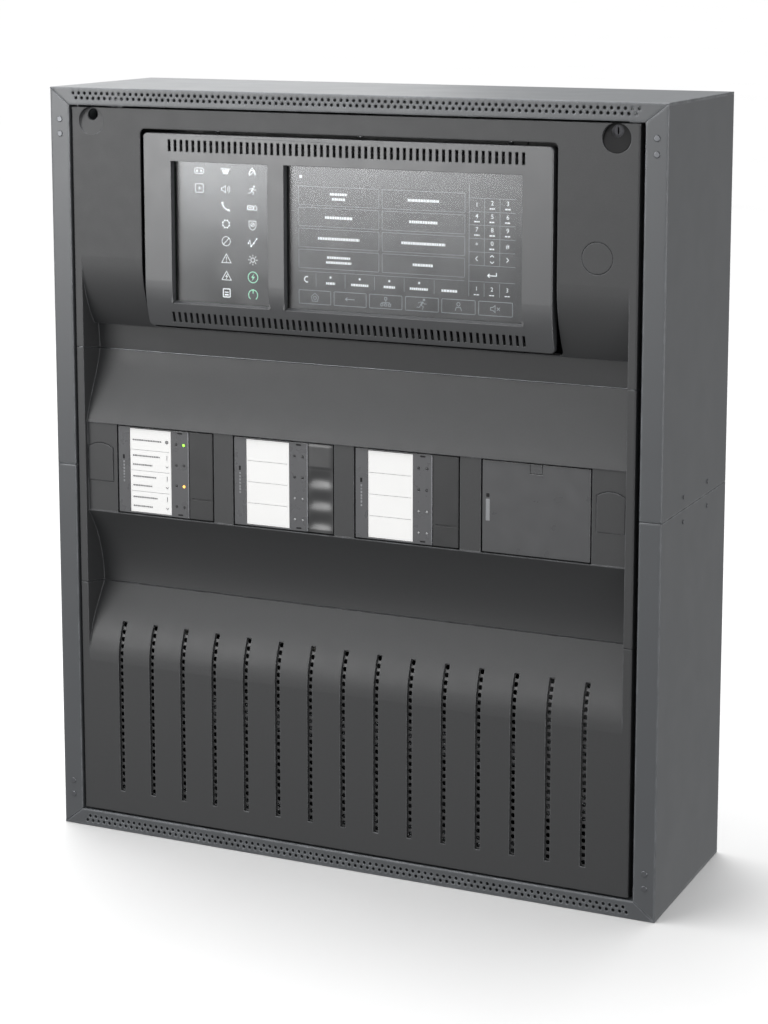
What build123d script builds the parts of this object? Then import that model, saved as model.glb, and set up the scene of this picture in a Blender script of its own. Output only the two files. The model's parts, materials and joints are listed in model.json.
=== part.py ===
from build123d import *
import os

os.makedirs("parts", exist_ok=True)

# Wall-mounted fire alarm control panel.
# Frame: +X to the viewer's right, +Y into the wall, +Z up. The origin is the centre of the
# wall-fixing hole pattern on the rear face. Inside the functions, "depth" is counted from the
# front face towards the wall and "drop" is counted from the top face downwards.

# Housing
WIDTH = 600.0
HEIGHT = 712.0
DEPTH = 186.0
SHEET = 1.5
SIDE_BAR = 20.0
END_BAR = 16.0
BAR_LIP = 15.0
MITRE_GAP = 0.3
SEAM_GAP = 0.25
BEND_RADIUS = 1.2
STACKING_FLANGE = 15.0
PERFORATION_RADIUS = 1.5
PERFORATION_PITCH = 6.1
PERFORATION_ROWS = (5.2, 9.6)
PERFORATION_HALF_SPAN = 275.0
RIVET_RADIUS = 2.8
RIVET_SHANK = 1.6
RIVET_HEAD = 0.7
WALL_HOLE_RADIUS = 4.0
WALL_HOLE_SPACING_X = 500.0
WALL_HOLE_SPACING_Z = 600.0
ENTRY_X = 120.0
ENTRY_DROP = 50.0
ENTRY_WIDTH = 120.0
ENTRY_HEIGHT = 40.0

# Door
DOOR_LEFT = -278.0
DOOR_RIGHT = 275.0
DOOR_CENTRE = (DOOR_LEFT + DOOR_RIGHT) / 2
DOOR_SET = 1.5
DOOR_TOP = 18.0
DOOR_BOTTOM = 694.0
LEDGE = 8.0
COVER_WALL = 2.0
COVER_EDGE = 12.0
FIELD_LEFT = DOOR_LEFT + LEDGE
FIELD_RIGHT = DOOR_RIGHT - LEDGE
STILE_GAP = 0.5
STILE_WALL = 3.0
STILE_BACK = 36.0
HINGE_X = -273.4
HINGE_DEPTH = 6.1
HINGE_PIN_RADIUS = 1.5
HINGE_COLLAR_RADIUS = 2.8
HINGE_HEAD_RADIUS = 2.6
HINGE_HEAD = 4.0
HINGE_PIN_REACH = 11.0
EAR_HEIGHT = 5.0
EAR_INSET = 3.0
RUNNING_GAP = 0.05

# Wave across the door: drops at which the surface changes, and its depth there
WAVE_START = 156.0
CREASE_DROP = 222.0
CREASE_DEPTH = 20.0
SEAM_A = 242.8
SEAM_B = 469.4
SEAM_SLANT = 0.165
SEAM_HALF_GAP = 0.3
SEAM_DEPTH = 29.5
BAND_TOP = 314.6
BAND_BOTTOM = 399.7
BAND_DEPTH = 4.5
BAND_STEP = 1.4
WAVE_END = 546.0

# Vent slots and the perforated plate behind them
VENT_COUNT = 15
VENT_PITCH = 33.4
VENT_WIDTH = 5.0
VENT_TOP = 506.8
VENT_BOTTOM = 672.3
PLATE_GAP = 0.5
PLATE_SHEET = 1.0
PLATE_HOLES = 25
PLATE_HOLE_RADIUS = 2.1

# Lock, unused lock hole and blanked hole
LOCK_X = 255.5
LOCK_DROP = 24.6
DIMPLE_DROP = 30.5
DIMPLE_RADIUS = 13.0
DIMPLE_DEPTH = 5.0
LOCK_HOLE_RADIUS = 5.3
BARREL_RADIUS = 4.2
SLEEVE_FLANGE = 6.3
CAM_LENGTH = 30.0
CAM_WIDTH = 8.0
CAM_DEPTH = 16.0
CAM_THICKNESS = 2.0
KEY_SLOT = (1.2, 5.6)
BLANK_X = 238.3
BLANK_DROP = 132.5
BLANK_RADIUS = 14.0

# Controller unit
BEZEL_HALF_WIDTH = 200.0
BEZEL_TOP = 39.5
BEZEL_BOTTOM = 218.0
BEZEL_FACE = 0.5
BEZEL_BACK = 13.0
BEZEL_CURVE_START = 175.0
BEZEL_CURVE_DEPTH = 8.0
BEZEL_WALL = 2.5
BEZEL_EDGE = 0.8
BEZEL_GAP = 3.8
WINDOW_TOP = 64.5
WINDOW_BOTTOM = 193.5
WINDOW_DEPTH = 7.0
WINDOW_SILL = 3.4
ICON_WINDOW = (-173.0, -74.0)
DISPLAY_WINDOW = (-58.0, 170.5)
CASE_INSET = 10.0
CASE_BACK = 42.0
CASE_WALL = 2.5
CASE_DROPS = (50.0, 213.0)
CASE_VENTS = 12
CASE_VENT_PITCH = 26.0
CASE_VENT_WIDTH = 14.0
CASE_VENT_DROPS = ((70.0, 74.0), (190.0, 194.0))
MAIN_BOARD_DEPTH = 20.0
BUZZER_RADIUS = 11.0
BUZZER_DROP = 120.0
CABLE_THICKNESS = 1.2
GRILLE_COUNT = 57
GRILLE_PITCH = 6.17
GRILLE_WIDTH = 2.8
GRILLE_ROWS = ((45.1, 55.7), (203.6, 213.4))

# Module band
SLOT_PITCH = 123.3
SLOT_WIDTH = 103.4
SLOT_COUNT = 4
MODULE_WIDTH = 100.6
MODULE_TOP = 316.0
MODULE_BOTTOM = 398.3
MODULE_FACE = 6.5
MODULE_BACK = 66.0
MODULE_WALL = 2.0
MODULE_FLANGE = (293.5, 420.5)
STRIP_WIDTH = 12.0
LABEL_WIDTH = 43.5
LAMP_COLUMN = (57.0, 75.0)
LAMP_RADIUS = 1.3
LAMP_OFFSETS = (62.0, 70.0)
TERMINAL_LEFT = 75.6
TERMINAL_DEPTH = 6.0

# Press latches at the ends of the band
LATCH_HALF_WIDTH = 13.0
LATCH_X = 254.0
LATCH_TOP = 334.0
LATCH_BOTTOM = 370.0
LATCH_RISE = 0.8
LATCH_GAP = 0.35
LATCH_PLAY = 0.6
LATCH_RIM = 1.5
LATCH_STEM = 9.0

# Inner frame and backplane
FRAME_SHEET = 2.0
RAIL_FRONT = 44.0
RAIL_HEIGHT = 12.0
RAIL_DEPTH = 12.0
RAIL_DROPS = (34.0, 226.0, 296.0, 406.0)
RAIL_HALF_LENGTH = 276.0
RAIL_END = 30.0
POST_INNER = 250.0
POST_OUTER = 278.0
POST_BACK = 72.0
BUS_DEPTH = 78.0
BOARD_THICKNESS = 1.6
BUS_X = (-236.0, 233.0)
BUS_DROPS = (298.0, 416.0)
BUS_PILLAR_RADIUS = 3.0
BUS_PILLAR_INSET = 8.0
CONNECTOR_WIDTH = 40.0
CONNECTOR_DROPS = (346.0, 368.0)

# Power supply and batteries
BATTERY = (181.0, 76.0, 167.0)
BATTERY_FRONT = 92.0
BATTERY_LEFTS = (-235.0, -50.0)
TERMINAL_INSET = 18.0
TERMINAL_HEIGHT = 9.0
STRAP_DROPS = (600.0, 622.0)
STRAP_FOOT = 14.0
TRAY_LIP = 18.0
LEAD_RADIUS = 2.0
LEAD_BEND = 12.0
LEAD_SETBACK = 10.0
RED_CREST = 505.0
BLACK_CREST = 492.0
LINK_RISE = 24.0
SUPPLY_X = (152.0, 262.0)
SUPPLY_DROPS = (500.0, 680.0)
SUPPLY_FRONT = 124.0
SUPPLY_TERMINAL_DROPS = (540.0, 560.0)
SUPPLY_TERMINAL_DEPTH = 14.0
LOUVRE_COUNT = 9
LOUVRE_PITCH = 8.0
LOUVRE_START = 96.0

STILE_RUN = (DOOR_LEFT + COVER_WALL + STILE_GAP, DOOR_RIGHT - COVER_WALL - STILE_GAP)
CROSSBAR_RUN = (STILE_RUN[0] + STILE_WALL, STILE_RUN[1] - STILE_WALL)
REAR = DEPTH - SHEET
FLOOR = HEIGHT - SHEET


def place(x, depth, drop):
    """Point from its distance right of centre, behind the front and below the top."""
    return Vector(x, depth - DEPTH, HEIGHT / 2 - drop)


def block(x_range, depth_range, drop_range):
    """Box between two values of x, of depth and of drop."""
    low = place(x_range[0], depth_range[0], drop_range[1])
    high = place(x_range[1], depth_range[1], drop_range[0])
    size = high - low
    return Pos(*((low + high) * 0.5)) * Box(size.X, size.Y, size.Z)


def round_bar(radius, x, drop, depth_range):
    """Cylinder along the depth direction."""
    middle = place(x, sum(depth_range) / 2, drop)
    turn = Rot(90, 0, 0)
    return Pos(*middle) * turn * Cylinder(radius, depth_range[1] - depth_range[0])


def upright_bar(radius, x, depth, drop_range):
    """Cylinder along the vertical."""
    return Pos(*place(x, depth, sum(drop_range) / 2)) * Cylinder(radius, drop_range[1] - drop_range[0])


def front_plate(points, depth_range):
    """Flat plate from an outline of (x, drop) points."""
    outline = Polyline(*[place(x, depth_range[1], drop) for x, drop in points], close=True)
    return extrude(make_face(outline), amount=depth_range[1] - depth_range[0], dir=(0, -1, 0))


def side_prism(edges, x_range):
    """Prism along x from closed edges drawn at x = 0."""
    face = Pos(x_range[0], 0, 0) * make_face(edges)
    return extrude(face, amount=x_range[1] - x_range[0], dir=(1, 0, 0))


def mirrored(shape, side):
    """The shape itself on the right (side 1), or its mirror image on the left (side -1)."""
    return shape if side > 0 else mirror(shape, Plane.YZ)


def edges_along(shape, axis):
    return shape.edges().filter_by(axis)


# ---------------------------------------------------------------- housing

def perforations(sign):
    """Two staggered rows of round holes through the top (1) or bottom (-1) bar."""
    edge = 0.0 if sign > 0 else HEIGHT
    holes = []
    for row, inset in enumerate(PERFORATION_ROWS):
        shift = 0.5 * PERFORATION_PITCH * row
        count = int(2 * (PERFORATION_HALF_SPAN - shift) / PERFORATION_PITCH) + 1
        for index in range(count):
            x = -PERFORATION_HALF_SPAN + shift + index * PERFORATION_PITCH
            holes.append(round_bar(PERFORATION_RADIUS, x, edge + sign * inset, (-1, SHEET + 1)))
    return holes


def pin_bore(drop_range):
    """Running bore on the hinge axis."""
    return upright_bar(HINGE_PIN_RADIUS + RUNNING_GAP, HINGE_X, HINGE_DEPTH, drop_range)


def end_panel(sign):
    """Top (sign 1) or bottom (sign -1) panel with its perforated front bar and lip."""
    edge = 0.0 if sign > 0 else HEIGHT
    half = WIDTH / 2
    inner = half - SIDE_BAR
    sheet = block((-half, half), (0, DEPTH), sorted((edge, edge + sign * SHEET)))
    outline = [(-half, edge), (half, edge), (inner, edge + sign * END_BAR), (-inner, edge + sign * END_BAR)]
    bar = front_plate(outline, (0, SHEET))
    lip_drops = sorted((edge + sign * (END_BAR - SHEET), edge + sign * END_BAR))
    lip = block((-inner, inner), (0, BAR_LIP), lip_drops)
    rear_drops = sorted((edge + sign * SHEET, edge + sign * END_BAR))
    rear = block((-inner, inner), (REAR - SHEET, REAR), rear_drops)
    panel = sheet + bar + lip + rear
    front_edge = panel.edges().filter_by(Axis.X).sort_by(Axis.Y)[:2]
    outer = front_edge.sort_by(Axis.Z)[-1 if sign > 0 else 0]
    panel = fillet(outer, BEND_RADIUS)
    pin_drop = edge + sign * END_BAR
    return panel - perforations(sign) - pin_bore((pin_drop - 3, pin_drop + 3))


def side_rivet_places():
    """(depth, drop) of the small rivets through the side walls, beside the seam."""
    middle = HEIGHT / 2
    return [(depth, middle + shift) for depth in (60.0, 130.0) for shift in (-11.0, 11.0)]


def front_rivet_drops():
    return (29.5, 43.0, HEIGHT - 43.0, HEIGHT - 29.5)


def side_panel(side, upper):
    """One half-height side wall with its folded front bar, stacking flange and rear flange."""
    half = WIDTH / 2
    inner = half - SIDE_BAR
    seam = HEIGHT / 2 - SEAM_GAP
    drops = (SHEET, seam)
    wall = block((half - SHEET, half), (0, DEPTH), drops)
    mitre_x = inner + (END_BAR - SHEET) / END_BAR * SIDE_BAR
    outline = [
        (inner, END_BAR + MITRE_GAP),
        (mitre_x, SHEET + MITRE_GAP),
        (half, SHEET),
        (half, seam),
        (inner, seam),
    ]
    bar = front_plate(outline, (0, SHEET))
    lip = block((inner, inner + SHEET), (0, BAR_LIP), (END_BAR + MITRE_GAP, seam))
    rear = block((half - SHEET - STACKING_FLANGE, half), (REAR - SHEET, REAR), (SHEET + END_BAR, seam))
    flange = block((half - SHEET - STACKING_FLANGE, half), (80, REAR), (seam - SHEET, seam))
    panel = wall + bar + lip + rear + flange
    outer = edges_along(panel, Axis.Z).filter_by_position(Axis.X, half - 0.01, half + 0.01)
    panel = fillet(outer.sort_by(Axis.Y)[0], BEND_RADIUS)
    middle = half - SIDE_BAR / 2
    shanks = [round_bar(RIVET_SHANK, middle, drop, (-1, 3)) for drop in front_rivet_drops()[:2]]
    for depth, drop in side_rivet_places():
        if drop < HEIGHT / 2:
            shanks.append(Pos(*place(half, depth, drop)) * Rot(0, 90, 0) * Cylinder(RIVET_SHANK, 8))
    panel = panel - shanks
    panel = panel if upper else mirror(panel, Plane.XY)
    return mirrored(panel, side)


def rear_panel():
    """Flat back with four wall-fixing holes and two cable entries."""
    half = WIDTH / 2 - SHEET
    panel = block((-half, half), (REAR, DEPTH), (SHEET, FLOOR))
    cuts = []
    for x in (-WALL_HOLE_SPACING_X / 2, WALL_HOLE_SPACING_X / 2):
        for z in (-WALL_HOLE_SPACING_Z / 2, WALL_HOLE_SPACING_Z / 2):
            cuts.append(round_bar(WALL_HOLE_RADIUS, x, HEIGHT / 2 - z, (REAR - 1, DEPTH + 1)))
    for x in (-ENTRY_X, ENTRY_X):
        cuts.append(entry_block(x, 0, (REAR - 1, DEPTH + 1)))
    return panel - cuts


def entry_block(x, margin, depth_range):
    """Box of a cable entry, larger by a margin all round."""
    half_width = ENTRY_WIDTH / 2 + margin
    half_height = ENTRY_HEIGHT / 2 + margin
    drops = (ENTRY_DROP - half_height, ENTRY_DROP + half_height)
    return block((x - half_width, x + half_width), depth_range, drops)


def cable_entry_trims():
    """Rubber edging round both cable entries."""
    trims = []
    for x in (-ENTRY_X, ENTRY_X):
        lining = entry_block(x, 0, (REAR, DEPTH)) + entry_block(x, 4, (REAR - 3, REAR))
        trims.append(lining - entry_block(x, -3, (REAR - 4, DEPTH + 1)))
    return Compound(trims)


def housing_rivets():
    """Domed rivets in the front bars and beside the side seams."""
    rivets = []
    for side in (-1, 1):
        for drop in front_rivet_drops():
            x = side * (WIDTH / 2 - SIDE_BAR / 2)
            head = round_bar(RIVET_RADIUS, x, drop, (-RIVET_HEAD, 0))
            head = fillet(head.edges().sort_by(Axis.Y)[0], RIVET_HEAD * 0.8)
            rivets.append(head + round_bar(RIVET_SHANK, x, drop, (0, SHEET + 1)))
        for depth, drop in side_rivet_places():
            start = place(side * (WIDTH / 2 - 2), depth, drop)
            shank = Pos(*start) * Rot(0, 90, 0) * Cylinder(RIVET_SHANK, 4)
            cap = Pos(side * (WIDTH / 2 + RIVET_HEAD / 2), start.Y, start.Z) * Rot(0, 90, 0)
            rivets.append(shank + cap * Cylinder(RIVET_RADIUS * 0.7, RIVET_HEAD))
    return Compound(rivets)


def hinge_pins():
    """Headed pins through the bar lips: the lower one has the collar that carries the door."""
    top = END_BAR - SHEET - HINGE_HEAD / 2
    upper = upright_bar(HINGE_PIN_RADIUS, HINGE_X, HINGE_DEPTH, (top, END_BAR + HINGE_PIN_REACH))
    upper += upright_bar(HINGE_HEAD_RADIUS, HINGE_X, HINGE_DEPTH, (top, END_BAR - SHEET))
    base = HEIGHT - END_BAR
    foot = base + HINGE_HEAD
    lower = upright_bar(HINGE_PIN_RADIUS, HINGE_X, HINGE_DEPTH, (base - HINGE_PIN_REACH, foot))
    ear_base = DOOR_BOTTOM - EAR_INSET
    lower += upright_bar(HINGE_COLLAR_RADIUS, HINGE_X, HINGE_DEPTH, (ear_base, base))
    lower += upright_bar(HINGE_HEAD_RADIUS, HINGE_X, HINGE_DEPTH, (base + SHEET, foot))
    return Compound([upper, lower])


def earth_stud():
    """Threaded stud with its nut, on the back between the cable entries."""
    stud = round_bar(3.0, 0, ENTRY_DROP, (REAR - 16, REAR))
    nut_face = make_face(RegularPolygon(5.8, 6).edges())
    nut = Pos(*place(0, REAR - 6, ENTRY_DROP)) * Rot(90, 0, 0) * extrude(nut_face, 5)
    return stud + nut


# ---------------------------------------------------------------- inner frame

def mounting_post(side):
    """Z-shaped upright between the top and bottom panels, reaching the side wall."""
    drops = (SHEET, FLOOR)
    front_depth = RAIL_FRONT + FRAME_SHEET
    web_x = POST_OUTER - FRAME_SHEET
    front = block((POST_INNER, POST_OUTER), (front_depth, front_depth + FRAME_SHEET), drops)
    web = block((web_x, POST_OUTER), (front_depth, POST_BACK), drops)
    back = block((web_x, WIDTH / 2 - SHEET), (POST_BACK - FRAME_SHEET, POST_BACK), drops)
    return mirrored(front + web + back, side)


def mounting_rails():
    """Four identical channel rails across the posts."""
    rails = []
    for drop in RAIL_DROPS:
        span = (-RAIL_HALF_LENGTH, RAIL_HALF_LENGTH)
        rail = block(span, (RAIL_FRONT, RAIL_FRONT + FRAME_SHEET), (drop, drop + RAIL_HEIGHT))
        inner = (-RAIL_HALF_LENGTH + RAIL_END, RAIL_HALF_LENGTH - RAIL_END)
        for start in (drop, drop + RAIL_HEIGHT - SHEET):
            rail += block(inner, (RAIL_FRONT, RAIL_FRONT + RAIL_DEPTH), (start, start + SHEET))
        rails.append(rail)
    return Compound(rails)


def bus_board():
    """Backplane circuit board on four pillars from the rails."""
    board = block(BUS_X, (BUS_DEPTH, BUS_DEPTH + BOARD_THICKNESS), BUS_DROPS)
    pillar_depths = (RAIL_FRONT + FRAME_SHEET, BUS_DEPTH)
    for x in (BUS_X[0] + BUS_PILLAR_INSET, BUS_X[1] - BUS_PILLAR_INSET):
        for rail_drop in RAIL_DROPS[2:]:
            board += round_bar(BUS_PILLAR_RADIUS, x, rail_drop + RAIL_HEIGHT / 2, pillar_depths)
    return board


def slot_centre(index):
    return DOOR_CENTRE + (index - (SLOT_COUNT - 1) / 2) * SLOT_PITCH


def bus_connectors():
    """One connector behind each module slot."""
    connectors = []
    for index in range(SLOT_COUNT):
        left = slot_centre(index) - CONNECTOR_WIDTH / 2
        x_range = (left, left + CONNECTOR_WIDTH)
        connectors.append(block(x_range, (MODULE_BACK, BUS_DEPTH), CONNECTOR_DROPS))
    return Compound(connectors)


# ---------------------------------------------------------------- controller

def bezel_outline(offset):
    """Closed side outline of the bezel, moved inwards by an offset."""
    top = BEZEL_TOP + offset
    bottom = BEZEL_BOTTOM - offset
    face = BEZEL_FACE + offset
    back = BEZEL_BACK + (1 if offset else 0)
    start = place(0, face, BEZEL_CURVE_START)
    end = place(0, face + BEZEL_CURVE_DEPTH, bottom)
    curve = TangentArc(start, end, tangent=(0, 0, -1))
    rest = Polyline(end, place(0, back, bottom), place(0, back, top), place(0, face, top), start)
    return [curve, rest]


def grille_slots(margin):
    """Two rows of short upright vent slots."""
    slots = []
    for top, bottom in GRILLE_ROWS:
        for index in range(GRILLE_COUNT):
            x = DOOR_CENTRE + (index - (GRILLE_COUNT - 1) / 2) * GRILLE_PITCH
            half = GRILLE_WIDTH / 2
            slots.append(block((x - half, x + half), (-1, BEZEL_BACK + margin), (top, bottom)))
    return slots


def window_block(x_range, margin, depth_range):
    drops = (WINDOW_TOP - margin, WINDOW_BOTTOM + margin)
    return block((x_range[0] - margin, x_range[1] + margin), depth_range, drops)


def controller_bezel():
    """Front frame of the controller, with wells for its two windows."""
    span = (DOOR_CENTRE - BEZEL_HALF_WIDTH, DOOR_CENTRE + BEZEL_HALF_WIDTH)
    shell = side_prism(bezel_outline(0), span)
    corners = edges_along(shell, Axis.Y)
    shell = fillet(corners, 4.0)
    face_rim = shell.faces().sort_by(Axis.Y)[0].edges().sort_by(Axis.Z)[1:]
    shell = fillet(face_rim, BEZEL_EDGE)
    hollow = side_prism(bezel_outline(BEZEL_WALL), (span[0] + BEZEL_WALL, span[1] - BEZEL_WALL))
    shell = shell - hollow
    for window in (ICON_WINDOW, DISPLAY_WINDOW):
        shell += window_block(window, 1.5, (BEZEL_FACE + 1, WINDOW_DEPTH))
    for window in (ICON_WINDOW, DISPLAY_WINDOW):
        shell -= window_block(window, 0, (-1, BEZEL_BACK + 1))
        sill = [
            place(0, BEZEL_FACE - 2, WINDOW_BOTTOM + WINDOW_SILL),
            place(0, WINDOW_DEPTH - 0.5, WINDOW_BOTTOM - 0.01),
            place(0, BEZEL_FACE - 2, WINDOW_BOTTOM - 0.01),
        ]
        shell -= side_prism(Polyline(*sill, close=True), window)
    return shell - grille_slots(1)


def window_pane(x_range):
    return window_block(x_range, 1.5, (WINDOW_DEPTH, WINDOW_DEPTH + 2))


def controller_case():
    """Rear tub of the controller, with ears that sit on the two upper rails."""
    half = BEZEL_HALF_WIDTH - CASE_INSET
    left, right = DOOR_CENTRE - half, DOOR_CENTRE + half
    top, bottom = CASE_DROPS
    tub = block((left, right), (BEZEL_BACK, CASE_BACK), CASE_DROPS)
    hollow_depths = (BEZEL_BACK - 1, CASE_BACK - CASE_WALL)
    hollow_drops = (top + CASE_WALL, bottom - CASE_WALL)
    tub -= block((left + CASE_WALL, right - CASE_WALL), hollow_depths, hollow_drops)
    vents = []
    for index in range(CASE_VENTS):
        x = left + 4 * CASE_INSET + index * CASE_VENT_PITCH
        for drops in CASE_VENT_DROPS:
            vents.append(block((x, x + CASE_VENT_WIDTH), (CASE_BACK - 4, RAIL_FRONT), drops))
    ear_x = (left + 3 * CASE_INSET, right - 3 * CASE_INSET)
    ears = block(ear_x, (CASE_BACK, RAIL_FRONT), (RAIL_DROPS[0], top + CASE_INSET))
    lower_ear_drops = (bottom - CASE_INSET, RAIL_DROPS[1] + RAIL_HEIGHT)
    ears += block(ear_x, (CASE_BACK, RAIL_FRONT), lower_ear_drops)
    return tub - vents + ears


def display_panel():
    """Touch display module behind the larger window."""
    x_range = (DISPLAY_WINDOW[0] - 1, DISPLAY_WINDOW[1] + 1)
    drops = (WINDOW_TOP - 0.5, WINDOW_BOTTOM + 0.5)
    return block(x_range, (WINDOW_DEPTH + 2.5, MAIN_BOARD_DEPTH - 3), drops)


def controller_board():
    """Main circuit board, behind the display and the icon window."""
    x_range = (ICON_WINDOW[0] - 8, DISPLAY_WINDOW[1] + 8)
    depths = (MAIN_BOARD_DEPTH, MAIN_BOARD_DEPTH + BOARD_THICKNESS)
    return block(x_range, depths, (WINDOW_TOP - 4.5, WINDOW_BOTTOM + 8.5))


def alarm_buzzer():
    """Round sounder on the back of the main board."""
    front = MAIN_BOARD_DEPTH + BOARD_THICKNESS
    return round_bar(BUZZER_RADIUS, sum(ICON_WINDOW) / 2, BUZZER_DROP, (front, front + 9.4))


def controller_cable():
    """Flat cable from the controller down to the backplane."""
    x = (slot_centre(2) + MODULE_WIDTH / 2 + 2, slot_centre(3) - MODULE_WIDTH / 2 - 2)
    front, back = MODULE_BACK - 5 - CABLE_THICKNESS, MODULE_BACK - 5
    top = CASE_DROPS[1] - 14
    foot = MODULE_TOP + 6
    cable = block(x, (CASE_BACK, back), (top, top + CABLE_THICKNESS))
    cable += block(x, (front, back), (top, foot))
    return cable + block(x, (front, BUS_DEPTH), (foot - CABLE_THICKNESS, foot))


# ---------------------------------------------------------------- modules

def lamp_drops():
    """Four lamp rows, evenly spaced down the module."""
    height = MODULE_BOTTOM - MODULE_TOP
    return [MODULE_TOP + height * (row + 0.67) / 4.2 for row in range(4)]


def module_shell(x_left, face):
    """Open-backed case with the flange that rests on the two lower rails."""
    x_right = x_left + MODULE_WIDTH
    shell = block((x_left, x_right), (face, MODULE_BACK), (MODULE_TOP, MODULE_BOTTOM))
    flange_depths = (RAIL_FRONT - 3, RAIL_FRONT)
    shell += block((x_left, x_right), flange_depths, MODULE_FLANGE)
    wall = MODULE_WALL
    hollow = block((x_left + wall, x_right - wall), (face + 6, MODULE_BACK + 1),
                   (MODULE_TOP + wall, MODULE_BOTTOM - wall))
    return shell - hollow


def module_body(index):
    """Function module case: raised strip, label bed, lamp column, terminal recess."""
    x = slot_centre(index) - MODULE_WIDTH / 2
    drops = (MODULE_TOP, MODULE_BOTTOM)
    body = module_shell(x, MODULE_FACE)
    bed = (x + STRIP_WIDTH, x + LAMP_COLUMN[0])
    body -= block(bed, (MODULE_FACE - 1, MODULE_FACE + 1.2), (MODULE_TOP + 1.2, MODULE_BOTTOM - 1.2))
    recess = (x + TERMINAL_LEFT - 0.3, x + MODULE_WIDTH + 1)
    recess_back = MODULE_FACE + TERMINAL_DEPTH
    body -= block(recess, (MODULE_FACE - 1, recess_back), (drops[0] - 1, drops[1] + 1))
    body += block((recess[0] - 3, x + MODULE_WIDTH), (recess_back, recess_back + MODULE_WALL), drops)
    holes = [round_bar(LAMP_RADIUS, x + offset, drop, (MODULE_FACE - 1, MODULE_FACE + 3))
             for offset in LAMP_OFFSETS for drop in lamp_drops()]
    return body - holes


def module_label(index):
    """Writing label lying in the module's label bed."""
    x = slot_centre(index) - MODULE_WIDTH / 2 + STRIP_WIDTH + 0.4
    depths = (MODULE_FACE + 0.6, MODULE_FACE + 1.2)
    return block((x, x + LABEL_WIDTH), depths, (MODULE_TOP + 1.5, MODULE_BOTTOM - 1.5))


def module_terminal_cover(index):
    """Cover over the field terminals, with a finger notch across its lower third."""
    x = slot_centre(index) - MODULE_WIDTH / 2
    x_range = (x + TERMINAL_LEFT, x + MODULE_WIDTH)
    cover = block(x_range, (MODULE_FACE, MODULE_FACE + TERMINAL_DEPTH), (MODULE_TOP, MODULE_BOTTOM))
    cover = fillet(cover.edges().filter_by(Axis.Z).sort_by(Axis.Y)[:2], 0.8)
    notch_drop = MODULE_TOP + 0.76 * (MODULE_BOTTOM - MODULE_TOP)
    notch_x = (x_range[0] + 3, x_range[1] - 2)
    notch = block(notch_x, (MODULE_FACE - 1, MODULE_FACE + 1), (notch_drop, notch_drop + 1.2))
    return cover - notch


def indicator_lamps():
    """Round lamp lenses of the three modules."""
    lamps = []
    for index in range(SLOT_COUNT - 1):
        x = slot_centre(index) - MODULE_WIDTH / 2
        for offset in LAMP_OFFSETS:
            for drop in lamp_drops():
                lamps.append(round_bar(LAMP_RADIUS, x + offset, drop, (MODULE_FACE - 0.3, MODULE_FACE + 3)))
    return Compound(lamps)


def blank_plate():
    """Blank cover in the spare slot, with a release tab at its top."""
    x = slot_centre(SLOT_COUNT - 1) - MODULE_WIDTH / 2
    plate = module_shell(x, MODULE_FACE)
    middle = x + MODULE_WIDTH / 2
    groove_depths = (MODULE_FACE - 1, MODULE_FACE + 0.8)
    tab_depths = (MODULE_FACE, MODULE_FACE + 1)
    groove = block((middle - 6, middle + 6), groove_depths, (MODULE_TOP - 1, MODULE_TOP + 9))
    tab = block((middle - 5.4, middle + 5.4), tab_depths, (MODULE_TOP, MODULE_TOP + 8.4))
    return plate - groove + tab


# ---------------------------------------------------------------- power

def battery(index):
    """Sealed battery standing in the tray."""
    x = BATTERY_LEFTS[index]
    bottom = FLOOR - SHEET
    depths = (BATTERY_FRONT, BATTERY_FRONT + BATTERY[1])
    case = block((x, x + BATTERY[0]), depths, (battery_top(), bottom))
    case = fillet(edges_along(case, Axis.Z), 3.0)
    lid_line = battery_top() + 12
    groove_x = (x - 1, x + BATTERY[0] + 1)
    groove = block(groove_x, (BATTERY_FRONT - 1, BATTERY_FRONT + 0.6), (lid_line, lid_line + 1.5))
    return case - groove


def battery_top():
    return FLOOR - SHEET - BATTERY[2]


def terminal_xs():
    """x of the two terminals of each battery, left to right."""
    insets = (TERMINAL_INSET, BATTERY[0] - TERMINAL_INSET)
    return [left + inset for left in BATTERY_LEFTS for inset in insets]


def battery_terminals():
    """Four terminal posts on the battery lids."""
    top = battery_top()
    posts = []
    for x in terminal_xs():
        depths = (BATTERY_FRONT + 4, BATTERY_FRONT + 16)
        posts.append(block((x - 6, x + 6), depths, (top - TERMINAL_HEIGHT, top)))
    return Compound(posts)


def battery_tray():
    """Folded tray under the batteries, with a lip on three sides."""
    x_range = (BATTERY_LEFTS[0] - 3, BATTERY_LEFTS[1] + BATTERY[0] + 3)
    depths = (BATTERY_FRONT - 3, BATTERY_FRONT + BATTERY[1] + 3)
    tray = block(x_range, depths, (FLOOR - SHEET, FLOOR))
    tray += block(x_range, (depths[0], depths[0] + SHEET), (FLOOR - TRAY_LIP, FLOOR))
    for x in (x_range[0], x_range[1] - SHEET):
        tray += block((x, x + SHEET), depths, (FLOOR - TRAY_LIP, FLOOR))
    return tray


def battery_strap():
    """Steel strap in front of the batteries, fixed to the back of the housing."""
    x_range = (BATTERY_LEFTS[0] - 3, BATTERY_LEFTS[1] + BATTERY[0] + 3)
    front = BATTERY_FRONT - 2
    strap = block(x_range, (front, front + SHEET), STRAP_DROPS)
    for x in (x_range[0], x_range[1] - SHEET):
        strap += block((x, x + SHEET), (front, REAR), STRAP_DROPS)
    strap += block((x_range[0] - STRAP_FOOT, x_range[0]), (REAR - SHEET, REAR), STRAP_DROPS)
    return strap + block((x_range[1], x_range[1] + STRAP_FOOT), (REAR - SHEET, REAR), STRAP_DROPS)


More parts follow.
